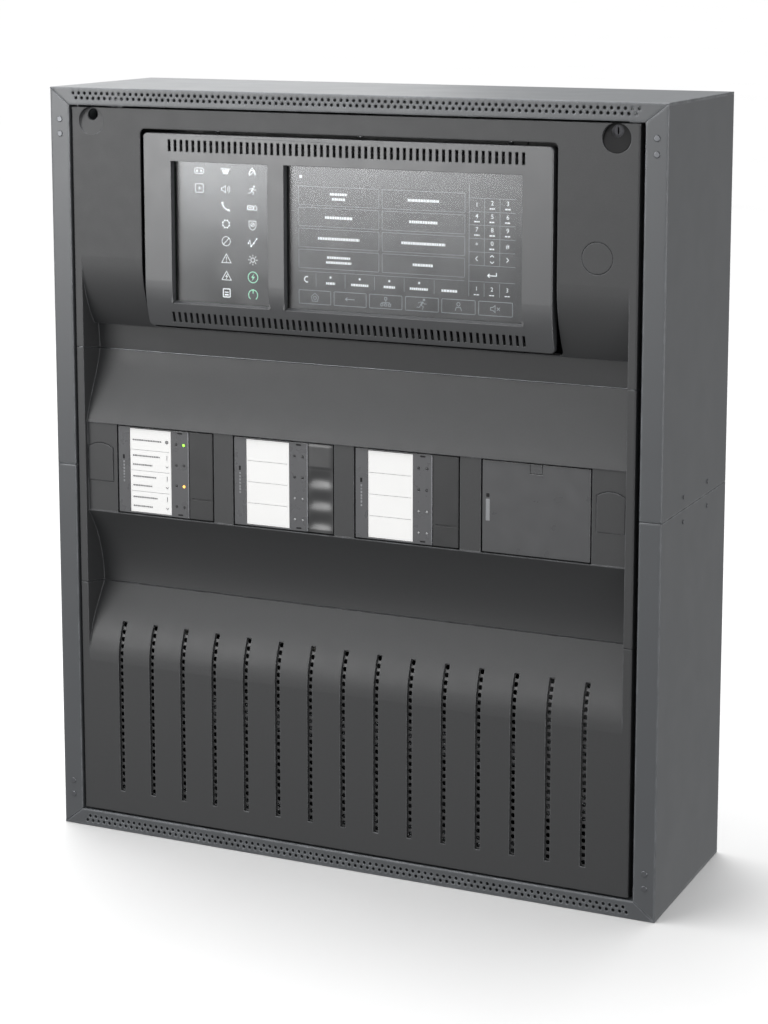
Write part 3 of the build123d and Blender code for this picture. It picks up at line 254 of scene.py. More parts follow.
LACQUER = (0.118, 0.125, 0.134)
finishes = {
    # Housing lacquer edges are lightened strongly over a wide band: painted highlight along the folded edges
    # and corners.
    "housing_lacquer": surface("housing_lacquer", LACQUER, 0.40, 0.0010, 0.00002, 0.04, 0.09, 0.02,
                               edge_radius=0.0026, wear_and_highlight=1.0, rub_and_highlight=3.4),
    "rivet_steel": surface("rivet_steel", (0.13, 0.135, 0.145), 0.36, 0.0008, 0.00001, metal=0.5, wear_and_highlight=0.5),
    "edge_rubber": surface("edge_rubber", (0.018, 0.018, 0.018), 0.75, 0.0008, 0.00005, level=0.3),
    "pin_steel": brushed("pin_steel", (0.55, 0.56, 0.58), 0.3, (1, 1, 8)),
    "stud_brass": brushed("stud_brass", (0.72, 0.53, 0.22), 0.3, (1, 8, 1)),
    "zinc_steel": brushed("zinc_steel", (0.50, 0.52, 0.54), 0.42, (1, 1, 0.12)),
    "circuit_board": circuit("circuit_board"),
    "connector_plastic": surface("connector_plastic", (0.028, 0.028, 0.03), 0.5, 0.0008, 0.00004),
    "bezel_plastic": surface("bezel_plastic", (0.082, 0.085, 0.090), 0.36, 0.0007, 0.000018, 0.04, 0.05,
                             0.03, wear_and_highlight=0.5, level=0.7),
    "smoked_glass": glass("smoked_glass"),
    "display_surface": surface("display_surface", (0.016, 0.0165, 0.018), 0.34, 0.004, 0.0000005, 0.03,
                               spread=0.02, wear_and_highlight=0.1),
    "flat_cable": surface("flat_cable", (0.40, 0.41, 0.43), 0.5, 0.00127, 0.0003, stretch=(1, 0.02, 0.02)),
    "lamp_lens": surface("lamp_lens", (0.045, 0.046, 0.048), 0.2, 0.0009, 0.00001, wear_and_highlight=0.1),
    "blank_plastic": surface("blank_plastic", (0.100, 0.102, 0.107), 0.30, 0.0006, 0.000012, 0.03, 0.04,
                             0.03, wear_and_highlight=0.4, level=0.7),
    "battery_case": surface("battery_case", (0.035, 0.036, 0.04), 0.5, 0.0011, 0.00006),
    "terminal_tin": brushed("terminal_tin", (0.7, 0.68, 0.62), 0.35, (1, 6, 1)),
    "supply_case": brushed("supply_case", (0.60, 0.61, 0.62), 0.38, (0.1, 1, 1)),
    "red_cable": surface("red_cable", (0.42, 0.02, 0.018), 0.42, 0.0015, 0.00004, wear_and_highlight=0.1),
    "black_cable": surface("black_cable", (0.016, 0.016, 0.017), 0.42, 0.0015, 0.00004, wear_and_highlight=0.1),
    # Cover edges are lightened six times: painted highlight along the seams, creases and band edges.
    "cover_plastic": surface("cover_plastic", (0.034, 0.0355, 0.038), 0.56, 0.0011, 0.00006, 0.07, 0.035,
                             0.015, edge_radius=0.0015, wear_and_highlight=1.0, level=0.6, rub_and_highlight=6.0),
    "black_steel": surface("black_steel", (0.07, 0.071, 0.073), 0.45, 0.0009, 0.00001, wear_and_highlight=0.2),
    # Lock steel is near black: painted shade, so the chrome lock barrel reads as a dark hole.
    "lock_steel": brushed("lock_steel", (0.035, 0.035, 0.038), 0.4, (1, 6, 1)),
    "module_plastic": surface("module_plastic", (0.14, 0.142, 0.15), 0.28, 0.0006, 0.000012, 0.03, 0.03,
                              0.015, wear_and_highlight=0.6, level=0.7),
    # The label card is given a glow: painted light that makes the paper card read bright.
    "label_card": glowing("label_card", (0.90, 0.90, 0.89), 0.38, 0.03, 0.02),
    "terminal_plastic": surface("terminal_plastic", (0.030, 0.031, 0.033), 0.42, 0.0009, 0.00004, wear_and_highlight=0.5),
}
for name, obj in nodes.items():
    for slot in obj.material_slots:
        slot.material = finishes[slot_of[name]]
# Mounting rails take black steel in place of their zinc: painted shade that darkens the gap where they show.
for name, finish in (("controller_case", "connector_plastic"), ("mounting_rails", "black_steel"),
                     ("hinge_pins", "lock_steel")):
    for slot in nodes[name].material_slots:
        slot.material = finishes[finish]

symbol_white = glowing("symbol_white", (0.93, 0.95, 0.95), 0.95)
line_grey = glowing("line_grey", (0.50, 0.54, 0.56), 0.42)
symbol_green = glowing("symbol_green", (0.36, 0.80, 0.56), 0.95)
lamp_green = glowing("lamp_green", (0.30, 0.85, 0.05), 2.0, 0.05)
lamp_amber = glowing("lamp_amber", (1.0, 0.50, 0.10), 2.2, 0.05)
lamp_clear = surface("lamp_clear", (0.55, 0.56, 0.57), 0.2, 0.0009, 0.00001, wear_and_highlight=0.1)
ink = surface("ink", (0.40, 0.40, 0.41), 0.6, 0.0005, 0.000004, 0.15, 0.004, wear_and_highlight=0.0)
rule_ink = surface("rule_ink", (0.36, 0.37, 0.38), 0.6, 0.0005, 0.000004, 0.1, 0.004, wear_and_highlight=0.0)
pale_print = surface("pale_print", (0.42, 0.43, 0.45), 0.5, 0.0005, 0.000004, 0.15, 0.006, wear_and_highlight=0.0)
# Near-black: print for the module notes, painted shade for the module end slots and the lock pocket.
dark_print_and_shade = surface("dark_print_and_shade", (0.010, 0.010, 0.011), 0.65, 0.0006, 0.00001, wear_and_highlight=0.0, level=0.25)
# Lighter grey of the module edge line: painted highlight along the moulded edge.
edge_highlight_grey = surface("edge_highlight_grey", (0.30, 0.31, 0.33), 0.25, 0.0006, 0.000008, 0.04, 0.02, wear_and_highlight=0.6)
terminal_gloss = surface("terminal_gloss", (0.045, 0.046, 0.048), 0.36, 0.0009, 0.00002,
                         wear_and_highlight=0.4, level=0.7)
capacitor_blue = surface("capacitor_blue", (0.02, 0.05, 0.16), 0.35, 0.001, 0.00001, wear_and_highlight=0.2)
terminal_green = surface("terminal_green", (0.02, 0.16, 0.06), 0.45, 0.0008, 0.00003, wear_and_highlight=0.3)
cap_red = surface("cap_red", (0.45, 0.025, 0.02), 0.4, 0.0008, 0.00003, wear_and_highlight=0.3)
sleeve_grey = surface("sleeve_grey", (0.18, 0.185, 0.19), 0.5, 0.0008, 0.00003, wear_and_highlight=0.3)


# ---------------------------------------------------------------- mesh helpers

def piece(name, bm, body, material, smooth=False):
    """A finished mesh as a piece that rides on a body."""
    bmesh.ops.recalc_face_normals(bm, faces=bm.faces)
    mesh = bpy.data.meshes.new(name)
    bm.to_mesh(mesh)
    bm.free()
    mesh.materials.append(material)
    if smooth:
        mesh.shade_smooth()
        mesh.set_sharp_from_angle(angle=math.radians(35))
    obj = bpy.data.objects.new(name, mesh)
    bpy.context.scene.collection.objects.link(obj)
    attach(obj, body)
    return obj


class Face:
    """A flat place to draw on: millimetres right and down from a corner, and out of the face."""

    def __init__(self, left, top, front):
        self.left, self.top, self.front = left, top, front

    def at(self, u, v, out=0.0):
        return Vector((self.left + u * MM, self.front - out * MM, self.top - v * MM))


def plate(bm, face, points, out, thickness):
    """A closed flat plate from its outline, standing out of the face."""
    front = [bm.verts.new(face.at(u, v, out)) for u, v in points]
    back = [bm.verts.new(face.at(u, v, out - thickness)) for u, v in points]
    bm.faces.new(front)
    bm.faces.new(back[::-1])
    count = len(points)
    for i in range(count):
        j = (i + 1) % count
        bm.faces.new((front[j], front[i], back[i], back[j]))


def ribbon(bm, face, points, width, out, thickness, closed=False):
    """A drawn line of even width, mitred at its corners."""
    places = [Vector(point) for point in points]
    count = len(places)
    sides = []
    for i, here in enumerate(places):
        before = places[i - 1] if i > 0 or closed else None
        after = places[(i + 1) % count] if i < count - 1 or closed else None
        into = (here - before).normalized() if before is not None else (after - here).normalized()
        onto = (after - here).normalized() if after is not None else into
        across = Vector((-(into + onto).y, (into + onto).x))
        across = across.normalized() if across.length > 1e-6 else Vector((-into.y, into.x))
        reach = width / 2 / max(0.45, abs(across.dot(Vector((-into.y, into.x)))))
        sides.append((here + across * reach, here - across * reach))
    rings = []
    for left, right in sides:
        rings.append([
            bm.verts.new(face.at(left.x, left.y, out)),
            bm.verts.new(face.at(right.x, right.y, out)),
            bm.verts.new(face.at(right.x, right.y, out - thickness)),
            bm.verts.new(face.at(left.x, left.y, out - thickness)),
        ])
    last = count if closed else count - 1
    for i in range(last):
        a, b = rings[i], rings[(i + 1) % count]
        for k in range(4):
            bm.faces.new((a[k], a[(k + 1) % 4], b[(k + 1) % 4], b[k]))
    if not closed:
        bm.faces.new(rings[0][::-1])
        bm.faces.new(rings[-1])


def arc(cu, cv, radius, start, end, steps):
    """Points on an arc. Angles in degrees, clockwise from the right."""
    angles = [math.radians(start + (end - start) * i / steps) for i in range(steps + 1)]
    return [(cu + radius * math.cos(a), cv + radius * math.sin(a)) for a in angles]


def round_rect(u0, v0, u1, v1, radius, steps=4):
    points = []
    corners = ((u1 - radius, v0 + radius, -90), (u1 - radius, v1 - radius, 0),
               (u0 + radius, v1 - radius, 90), (u0 + radius, v0 + radius, 180))
    for cu, cv, start in corners:
        points += arc(cu, cv, radius, start, start + 90, steps)
    return points


def slab(bm, low, high, radius):
    """A box with rounded edges, from corner to corner in metres."""
    low, high = Vector(low), Vector(high)
    made = bmesh.ops.create_cube(bm, size=1.0)["verts"]
    size = high - low
    for vert in made:
        vert.co = Vector(((vert.co[k] + 0.5) * size[k] + low[k] for k in range(3)))
    edges = list(dict.fromkeys(edge for vert in made for edge in vert.link_edges))
    bmesh.ops.bevel(bm, geom=edges, offset=min(radius, 0.45 * min(size)), segments=2, profile=0.7,
                    affect="EDGES")


def lathe(bm, profile, centre, axis=(0, -1, 0), steps=20):
    """A turned solid from (radius, distance along the axis) points; both ends reach the axis."""
    turn = Vector((0, 0, 1)).rotation_difference(Vector(axis)).to_matrix()
    rings = []
    for radius, along in profile:
        count = 1 if radius < 1e-7 else steps
        ring = []
        for i in range(count):
            angle = 2 * math.pi * i / steps
            spot = Vector((radius * math.cos(angle), radius * math.sin(angle), along))
            ring.append(bm.verts.new(turn @ spot + Vector(centre)))
        rings.append(ring)
    for low, high in zip(rings, rings[1:]):
        for i in range(steps):
            corners = [low[i % len(low)], low[(i + 1) % len(low)]]
            corners += [high[(i + 1) % len(high)], high[i % len(high)]]
            unique = list(dict.fromkeys(corners))
            if len(unique) > 2:
                bm.faces.new(unique)


def screw(bm, centre, radius):
    """Pan-head screw with a round driver recess."""
    profile = [(0, -0.3), (1, -0.3), (1, 0.1), (0.92, 0.34), (0.72, 0.48), (0.42, 0.52), (0.34, 0.46),
               (0.3, 0.1), (0, 0.06)]
    lathe(bm, [(r * radius, s * radius) for r, s in profile], centre)


# ---------------------------------------------------------------- symbols

class Pen:
    """Draws symbols centred on a spot of a face."""

    def __init__(self, bm, face, out, thickness, weight):
        self.bm, self.face, self.out, self.thickness, self.weight = bm, face, out, thickness, weight
        self.u = self.v = 0.0
        self.scale = 1.0

    def move(self, u, v, scale=1.0):
        self.u, self.v, self.scale = u, v, scale
        return self

    def spots(self, points):
        return [(self.u + x * self.scale, self.v - y * self.scale) for x, y in points]

    def line(self, *points, weight=None):
        ribbon(self.bm, self.face, self.spots(points), weight or self.weight, self.out, self.thickness)

    def loop(self, *points, weight=None):
        ribbon(self.bm, self.face, self.spots(points), weight or self.weight, self.out,
               self.thickness, closed=True)

    def ring(self, x, y, radius, weight=None):
        self.loop(*arc(x, y, radius, 0, 345, 23), weight=weight)

    def fill(self, *points):
        plate(self.bm, self.face, self.spots(points), self.out, self.thickness)

    def dot(self, x, y, radius):
        self.fill(*arc(x, y, radius, 0, 337.5, 15))


def twin_bell(pen):
    pen.loop(*round_rect(-5.0, -2.6, 5.0, 2.6, 2.2))
    for x in (-2.2, 2.2):
        pen.line((x - 1.1, -1.1), (x + 1.1, 1.1))
        pen.line((x - 1.1, 1.1), (x + 1.1, -1.1))


def boxed_cross(pen):
    pen.loop(*round_rect(-4.2, -4.0, 4.2, 4.0, 0.8))
    pen.line((-1.6, 0), (1.6, 0))
    pen.line((0, -1.6), (0, 1.6))


def bowl(pen):
    pen.line((-5, 2.6), (5, 2.6), weight=0.9)
    pen.fill((-3.9, 1.6), (3.9, 1.6), (2.3, -2.2), (-2.3, -2.2))


def speaker(pen):
    pen.loop((-4.6, -1.3), (-4.6, 1.3), (-2.6, 1.3), (-0.2, 3.4), (-0.2, -3.4), (-2.6, -1.3))
    pen.line(*arc(0.2, 0, 2.2, -50, 50, 8))
    pen.line(*arc(0.2, 0, 4.2, -50, 50, 8))


def handset(pen):
    pen.line((-3.8, 3.6), (-2.9, 0.6), (-0.6, -1.9), (3.2, -3.6), weight=1.3)
    pen.line((-4.6, 3.2), (-2.5, 3.9), weight=1.5)
    pen.line((2.7, -2.3), (3.7, -4.3), weight=1.5)


def detector(pen):
    pen.ring(0, 0, 3.3)
    for k in range(8):
        a = math.radians(45 * k + 22.5)
        pen.line((3.3 * math.cos(a), 3.3 * math.sin(a)), (4.5 * math.cos(a), 4.5 * math.sin(a)), weight=1.0)


def barred_ring(pen):
    pen.ring(0, 0, 4.3)
    pen.line((-3.0, -3.0), (3.0, 3.0))


def warning(pen):
    pen.loop((0, 4.3), (4.9, -3.9), (-4.9, -3.9))
    pen.line((0, 1.7), (0, -1.2))
    pen.dot(0, -2.5, 0.5)


def warning_bolt(pen):
    pen.loop((0, 4.3), (4.9, -3.9), (-4.9, -3.9))
    pen.line((0.9, 1.6), (-0.8, -0.7), (0.9, -0.7), (-0.5, -2.9), weight=0.6)


def recorder(pen):
    pen.loop(*round_rect(-3.6, -3.8, 3.6, 3.8, 0.7), weight=1.1)
    pen.line((-2.0, 0.7), (2.0, 0.7), weight=1.0)
    pen.line((-2.0, -1.7), (2.0, -1.7), weight=1.5)


def barred_drop(pen):
    drop = [(0, 4.6), (-1.8, 2.3)] + arc(0, -0.9, 3.3, 150, 390, 12)
    pen.loop(*[(x, y) for x, y in drop[:2]], *[(x, -1.8 - y) for x, y in drop[2:]], (1.8, 2.3))
    pen.line((-2.4, -2.4), (2.6, 2.4))


def runner(pen):
    pen.dot(1.9, 3.6, 1.0)
    pen.line((0.9, 2.0), (-0.8, -0.7), weight=1.4)
    pen.line((-0.8, -0.7), (1.3, -1.9), (0.6, -4.3))
    pen.line((-0.9, -0.8), (-2.3, -2.6), (-4.5, -2.6))
    pen.line((-3.2, 0.8), (-1.4, 1.7), (0.8, 1.8), (2.3, 0.3), (4.2, 0.5))


def sounder(pen):
    pen.loop(*round_rect(-5.0, -1.7, 0.8, 1.7, 0.3), weight=1.0)
    pen.line((-3.6, 0), (-0.6, 0), weight=1.0)
    pen.loop((1.6, -2.0), (1.6, 0.6), (3.0, 2.4), (4.6, 0.6), (4.6, -2.0))


def shield(pen):
    pen.loop((-3.6, 3.9), (3.6, 3.9), (3.6, -1.0), (2.2, -3.4), (0, -4.5), (-2.2, -3.4), (-3.6, -1.0))
    pen.ring(0, 0.5, 1.8)
    pen.line((-1.3, -0.8), (1.3, 1.8))


def linked(pen):
    pen.line((-4.4, -0.8), (-2.9, 2.3), (-1.7, -3.4), (1.0, -0.6))
    pen.line((1.0, -0.6), (4.2, 3.8))
    for x, y in ((-4.4, -0.8), (-1.7, -3.4), (4.2, 3.8), (1.2, -0.6)):
        pen.dot(x, y, 0.85)


def sun(pen):
    pen.ring(0, 0, 2.0)
    for k in range(8):
        a = math.radians(45 * k)
        pen.line((3.3 * math.cos(a), 3.3 * math.sin(a)), (4.9 * math.cos(a), 4.9 * math.sin(a)))


def ringed_bolt(pen):
    pen.ring(0, 0, 4.7)
    pen.fill((1.0, 3.2), (-1.9, -0.4), (-0.1, -0.4), (-1.0, -3.2), (1.9, 0.5), (0.1, 0.5))


def power(pen):
    pen.line(*arc(0, -0.3, 4.4, -55, 235, 26))
    pen.line((0, 4.6), (0, 0.8))


def house(pen):
    pen.loop((-3.2, 0.6), (0, 3.4), (3.2, 0.6), (2.4, -3.2), (-2.4, -3.2))
    pen.ring(0, -0.4, 1.3)


def back_arrow(pen):
    pen.line((-4.2, 0), (4.0, 0))
    pen.line((-2.4, 1.4), (-4.2, 0), (-2.4, -1.4))


def tree(pen):
    pen.loop(*round_rect(-1.0, 1.6, 1.0, 3.6, 0.2))
    pen.line((0, 1.4), (0, -0.6))
    pen.line((-3.4, -0.6), (3.4, -0.6))
    for x in (-3.4, 0, 3.4):
        pen.line((x, -0.6), (x, -1.4))
        pen.loop(*round_rect(x - 1.0, -3.4, x + 1.0, -1.6, 0.2))


def person(pen):
    pen.ring(0, 1.9, 1.4)
    pen.line((-2.9, -3.4), (-1.7, -0.6), (1.7, -0.6), (2.9, -3.4))


def quiet(pen):
    pen.loop((-4.2, -1.1), (-4.2, 1.1), (-2.4, 1.1), (-0.4, 2.8), (-0.4, -2.8), (-2.4, -1.1))
    pen.line((1.2, 1.2), (3.6, -1.2))
    pen.line((1.2, -1.2), (3.6, 1.2))


def enter(pen):
    pen.line((4.2, 2.0), (4.2, -0.8), (-4.0, -0.8), weight=0.8)
    pen.line((-2.2, 0.9), (-4.0, -0.8), (-2.2, -2.5), weight=0.8)


# ---------------------------------------------------------------- controller windows

DRAWN_OUT = -0.05   # millimetres out of the drawing face
DRAWN_THICK = 0.12
LINE_THICK = 0.1


def window_face(node):
    """The drawing face just behind a pane, measured from its top left corner."""
    low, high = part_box(node)
    return Face(low.x, high.z, high.y + 0.10 * MM), (high.x - low.x) / MM, (high.z - low.z) / MM


def draw_icons():
    face, width, height = window_face("icon_window")
    columns = [(width * share, marks) for share, marks in (
        (0.257, (twin_bell, boxed_cross)),
        (0.524, (bowl, speaker, handset, detector, barred_ring, warning, warning_bolt, recorder)),
        (0.790, (barred_drop, runner, sounder, shield, linked, sun)),
    )]
    pitch = height * 0.1197
    first = height * 0.077
    white, green = bmesh.new(), bmesh.new()
    pen = Pen(white, face, DRAWN_OUT, DRAWN_THICK, 0.62)
    for u, marks in columns:
        for row, mark in enumerate(marks):
            mark(pen.move(u, first + row * pitch, 0.98))
    pen = Pen(green, face, DRAWN_OUT, DRAWN_THICK, 0.85)
    for row, mark in ((6, ringed_bolt), (7, power)):
        mark(pen.move(columns[2][0], first + row * pitch, 1.05))
    piece("icon_symbols", white, "housing", symbol_white)
    piece("icon_symbols_green", green, "housing", symbol_green)


def icon_backing():
    """Dark diffuser plate behind the icon pane, with a softened rim."""
    low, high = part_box("icon_window")
    bm = bmesh.new()
    slab(bm, (low.x + 1.5 * MM, high.y + 0.5 * MM, low.z + 1.5 * MM),
         (high.x - 1.5 * MM, high.y + 1.7 * MM, high.z - 1.5 * MM), 0.3 * MM)
    piece("icon_diffuser", bm, "housing", finishes["display_surface"], smooth=True)


def word(bm, face, u, v, length, height, out=DRAWN_OUT, thickness=DRAWN_THICK):
    """A run of short blocks that stands for a word."""
    start = u - length / 2
    while start < u + length / 2 - 0.4:
        run = min(dice.uniform(1.3, 2.6), u + length / 2 - start)
        outline = round_rect(start, v - height / 2, start + run, v + height / 2, min(0.25, 0.3 * run), 2)
        plate(bm, face, outline, out, thickness)
        start += run + 0.35


def digit(text, face, u, v, height, out):
    """A numeral as mesh, centred on its spot."""
    curve = bpy.data.curves.new("digit", "FONT")
    curve.body = text
    curve.size = height * 1.42 * MM
    curve.extrude = 0.05 * MM
    curve.offset = 0.02 * MM
    curve.align_x = "CENTER"
    curve.align_y = "CENTER"
    holder = bpy.data.objects.new("digit", curve)
    mesh = bpy.data.meshes.new_from_object(holder)
    bpy.data.objects.remove(holder)
    mesh.transform(Matrix.Translation(face.at(u, v, out)) @ Matrix.Rotation(math.pi / 2, 4, "X"))
    return mesh


def draw_display():
    face = window_face("display_window")[0]
    lines, words, keys = bmesh.new(), bmesh.new(), bmesh.new()
    left, right = 12.3, 173.4
    middle = (left + right) / 2
    top = 20.0
    pitch = 18.9
    for row in range(4):
        for side in (0, 1):
            u0 = left if side == 0 else middle + 1.6
            u1 = middle - 1.6 if side == 0 else right
            v0 = top + row * pitch
            ribbon(lines, face, round_rect(u0, v0, u1, v0 + 16.6, 0.8, 2), 0.34, DRAWN_OUT, LINE_THICK, True)
            centre = (u0 + u1) / 2
            if side == 0 and row in (0, 3):
                word(words, face, centre, v0 + 6.2, 17 + 2 * row, 2.2)
                word(words, face, centre, v0 + 10.6, 13 + 4 * row, 2.2)
            else:
                length = (30, 27, 42, 20)[row] if side else (0, 27, 41, 0)[row]
                word(words, face, centre, v0 + 8.3, length, 2.4)
    status = Pen(words, face, DRAWN_OUT, DRAWN_THICK, 0.6)
    status.move(14.5, 11.5).fill(*round_rect(-1.4, -1.4, 1.4, 1.4, 0.4, 2))

    tab_top, tab_base = 97.6, 109.6
    ribbon(lines, face, [(left, tab_top - 1.2), (right, tab_top - 1.2)], 0.3, DRAWN_OUT, LINE_THICK)
    moon = Pen(words, face, DRAWN_OUT, DRAWN_THICK, 0.6).move(left + 7.5, (tab_top + tab_base) / 2)
    moon.line(*arc(0.5, 0, 2.5, 65, 295, 14), weight=1.2)
    tab = (right - left - 17) / 5
    for index in range(5):
        u0 = left + 17 + index * tab
        ribbon(lines, face, [(u0, tab_top), (u0, tab_base)], 0.3, DRAWN_OUT, LINE_THICK)
        word(words, face, u0 + tab / 2, tab_base - 3.4, (9, 17, 11, 18, 15)[index], 2.2)
        if index < 4:
            Pen(words, face, DRAWN_OUT, DRAWN_THICK, 0.6).move(u0 + tab / 2, tab_top + 3.2).dot(0, 0, 1.1)

    key_pitch = 34.9
    for index, mark in enumerate((house, back_arrow, tree, runner, person, quiet)):
        u0 = left + index * key_pitch
        ribbon(keys, face, round_rect(u0, 113.4, u0 + 31.6, 125.6, 0.6, 2), 0.5, DRAWN_OUT, LINE_THICK, True)
        mark(Pen(keys, face, DRAWN_OUT, DRAWN_THICK, 0.6).move(u0 + 15.8, 119.5, 1.1))

    pad_left, cell = 177.4, 14.4
    columns = [pad_left + cell * (k + 0.5) for k in range(3)]
    half_key = 5.85
    rows = [29.6 + 2 * half_key * k for k in range(5)]
    ribbon(lines, face, [(pad_left, 13.0), (pad_left, tab_base)], 0.34, DRAWN_OUT, LINE_THICK)
    for v in [row - half_key for row in rows] + [rows[-1] + half_key, tab_top - 1.2]:
        ribbon(lines, face, [(pad_left, v), (pad_left + 3 * cell, v)], 0.3, DRAWN_OUT, LINE_THICK)
    for k in (1, 2):
        u = pad_left + k * cell
        ribbon(lines, face, [(u, rows[0] - half_key), (u, rows[-1] + half_key)], 0.3, DRAWN_OUT, LINE_THICK)
        ribbon(lines, face, [(u, tab_top), (u, tab_base)], 0.3, DRAWN_OUT, LINE_THICK)
    for index, text in enumerate("123456789*0#"):
        u, v = columns[index % 3], rows[index // 3]
        bar = index not in (0, 9, 11)
        words.from_mesh(digit(text, face, u, v - (1.8 if bar else 0), 3.9, -0.1))
        if bar:
            word(words, face, u, v + 2.9, 5.2, 1.3)
    arrows = Pen(words, face, DRAWN_OUT, DRAWN_THICK, 0.7)
    for u, turn in ((columns[0], -1), (columns[2], 1)):
        arrows.move(u, rows[4]).line((-0.9 * turn, 2.0), (0.9 * turn, 0), (-0.9 * turn, -2.0))
    for shift in (2.6, -2.6):
        side = 1 if shift > 0 else -1
        arrows.move(columns[1], rows[4] - shift)
        arrows.line((-1.8, -0.7 * side), (0, 0.9 * side), (1.8, -0.7 * side))
    enter(arrows.move(columns[1], (rows[-1] + half_key + tab_top) / 2))
    for k in range(3):
        words.from_mesh(digit(str(k + 1), face, columns[k], tab_top + 5.2, 3.6, -0.1))
        word(words, face, columns[k], tab_base - 1.6, 5.0, 0.9)
    piece("display_lines", lines, "housing", line_grey)
    piece("display_words", words, "housing", symbol_white)
    piece("display_keys", keys, "housing", line_grey)


icon_backing()
draw_icons()
draw_display()


# ---------------------------------------------------------------- module band

def draw_labels():
    rules, texts = bmesh.new(), bmesh.new()
    for index in range(3):
        low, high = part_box(f"module_{index + 1}_label")
        face = Face(low.x, high.z, low.y)
        width, height = (high.x - low.x) / MM, (high.z - low.z) / MM
        for row in (1, 2, 3):
            v = height * row / 4
            ribbon(rules, face, [(0.8, v), (width - 1.6, v)], 0.35, 0.04, 0.1)
        if index:
            continue
        for row in range(4):
            top = height * row / 4
            count = 1 if row == 0 else 2
            for line in range(count):
                v = top + (10.5 if count == 1 else 5.6 + 8.6 * line)
                long = (31, 29, 25, 26)[row] if line == 0 else 21
                word(texts, face, 2.6 + long / 2, v, long, 1.6, 0.05, 0.1)
                pen = Pen(texts, face, 0.05, 0.1, 0.8).move(width - 4.2, v)
                if count == 1:
                    pen.dot(0, 0, 1.9)
                elif line == 0:
                    pen.line((0, 2.4), (0, -2.4))
                else:
                    pen.line((-1.4, 0.8), (0, -0.8), (1.4, 0.8))
    piece("label_rules", rules, "housing", rule_ink)
    piece("label_texts", texts, "housing", ink)


def lens(bm, centre, radius):
    profile = [(0, -2.0), (1, -2.0), (1, 0.15), (0.9, 0.5), (0.62, 0.78), (0.3, 0.92), (0, 0.95)]
    lathe(bm, [(r * radius, s * radius * 0.5) for r, s in profile], centre, steps=16)


def draw_lamps():
    """Domed lenses in the lamp columns: one green and one amber are lit."""
    dark, clear, green, amber = (bmesh.new() for _ in range(4))
    low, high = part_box("indicator_lamps")
    radius, rim = 1.27 * MM, 1.3 * MM
    body_left = [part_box(f"module_{k + 1}_body")[0].x for k in range(3)]
    first_x = low.x - body_left[0] + rim
    last_x = high.x - body_left[2] - rim
    face = low.y + 0.3 * MM
    for index in range(3):
        for column, x in enumerate((first_x, last_x)):
            for row in range(4):
                z = high.z - rim - row * (high.z - low.z - 2 * rim) / 3
                centre = (body_left[index] + x, face, z)
                if (index, column, row) == (0, 1, 0):
                    lens(green, centre, radius)
                elif (index, column, row) == (0, 1, 2):
                    lens(amber, centre, radius)
                else:
                    lens(clear if row > 1 and index else dark, centre, radius * 0.85)
    shown = piece("lamps_unlit", dark, "housing", finishes["lamp_lens"], smooth=True)
    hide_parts("indicator_lamps")
    piece("lamps_clear", clear, "housing", lamp_clear, smooth=True)
    piece("lamp_green", green, "housing", lamp_green, smooth=True)
    piece("lamp_amber", amber, "housing", lamp_amber, smooth=True)


def module_trim():
    """Moulded edge line in a lighter grey that is a painted highlight, end slots drawn as dark plates that
    are painted shade, and printed marks of each module front.
    """
    edges, slot_shade, marks, notes = (bmesh.new() for _ in range(4))
    for index in range(3):
        low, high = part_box(f"module_{index + 1}_body")
        cover_low, cover_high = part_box(f"module_{index + 1}_terminal_cover")
        edge_x = cover_low.x - 0.35 * MM
        height = (cover_high.z - cover_low.z) / MM
        slab(edges, (edge_x - 0.9 * MM, cover_low.y - 0.35 * MM, cover_low.z + 0.4 * MM),
             (edge_x, cover_low.y + 1.0 * MM, cover_high.z - 0.4 * MM), 0.3 * MM)
        face = Face(low.x, cover_high.z, cover_low.y)
        column = (cover_low.x - low.x) / MM - 9.6
        # End slots drawn as dark plates: painted shade in place of openings.
        for v in (2.3, height - 2.6):
            plate(slot_shade, face, round_rect(column - 2.6, v - 0.7, column + 2.6, v + 0.7, 0.6, 3), 0.05, 0.4)
        for step in range(7):
            v = height * 0.40 + step * 3.0 + dice.uniform(-0.2, 0.2)
            plate(marks, face, round_rect(5.0, v, 6.6, v + dice.uniform(1.4, 2.4), 0.3, 2), 0.04, 0.3)
        plate(notes, face, round_rect(4.6, height * 0.40 - 6, 6.6, height * 0.40 - 2, 0.4, 2), 0.04, 0.3)
    low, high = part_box("blank_plate")
    cover_low, cover_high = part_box("module_1_terminal_cover")
    face = Face(low.x, high.z, cover_low.y)
    height = (cover_high.z - cover_low.z) / MM
    top = (high.z - cover_high.z) / MM
    plate(marks, face, round_rect(3.2, top + height * 0.42, 7.0, top + height * 0.66, 0.5, 3), 0.04, 0.3)
    plate(notes, face, round_rect(3.6, top + height * 0.36, 6.6, top + height * 0.40, 0.5, 3), 0.04, 0.3)
    piece("module_edges", edges, "housing", edge_highlight_grey, smooth=True)
    piece("module_slot_shade", slot_shade, "housing", dark_print_and_shade)
    piece("module_marks", marks, "housing", pale_print)
    piece("module_notes", notes, "housing", dark_print_and_shade)


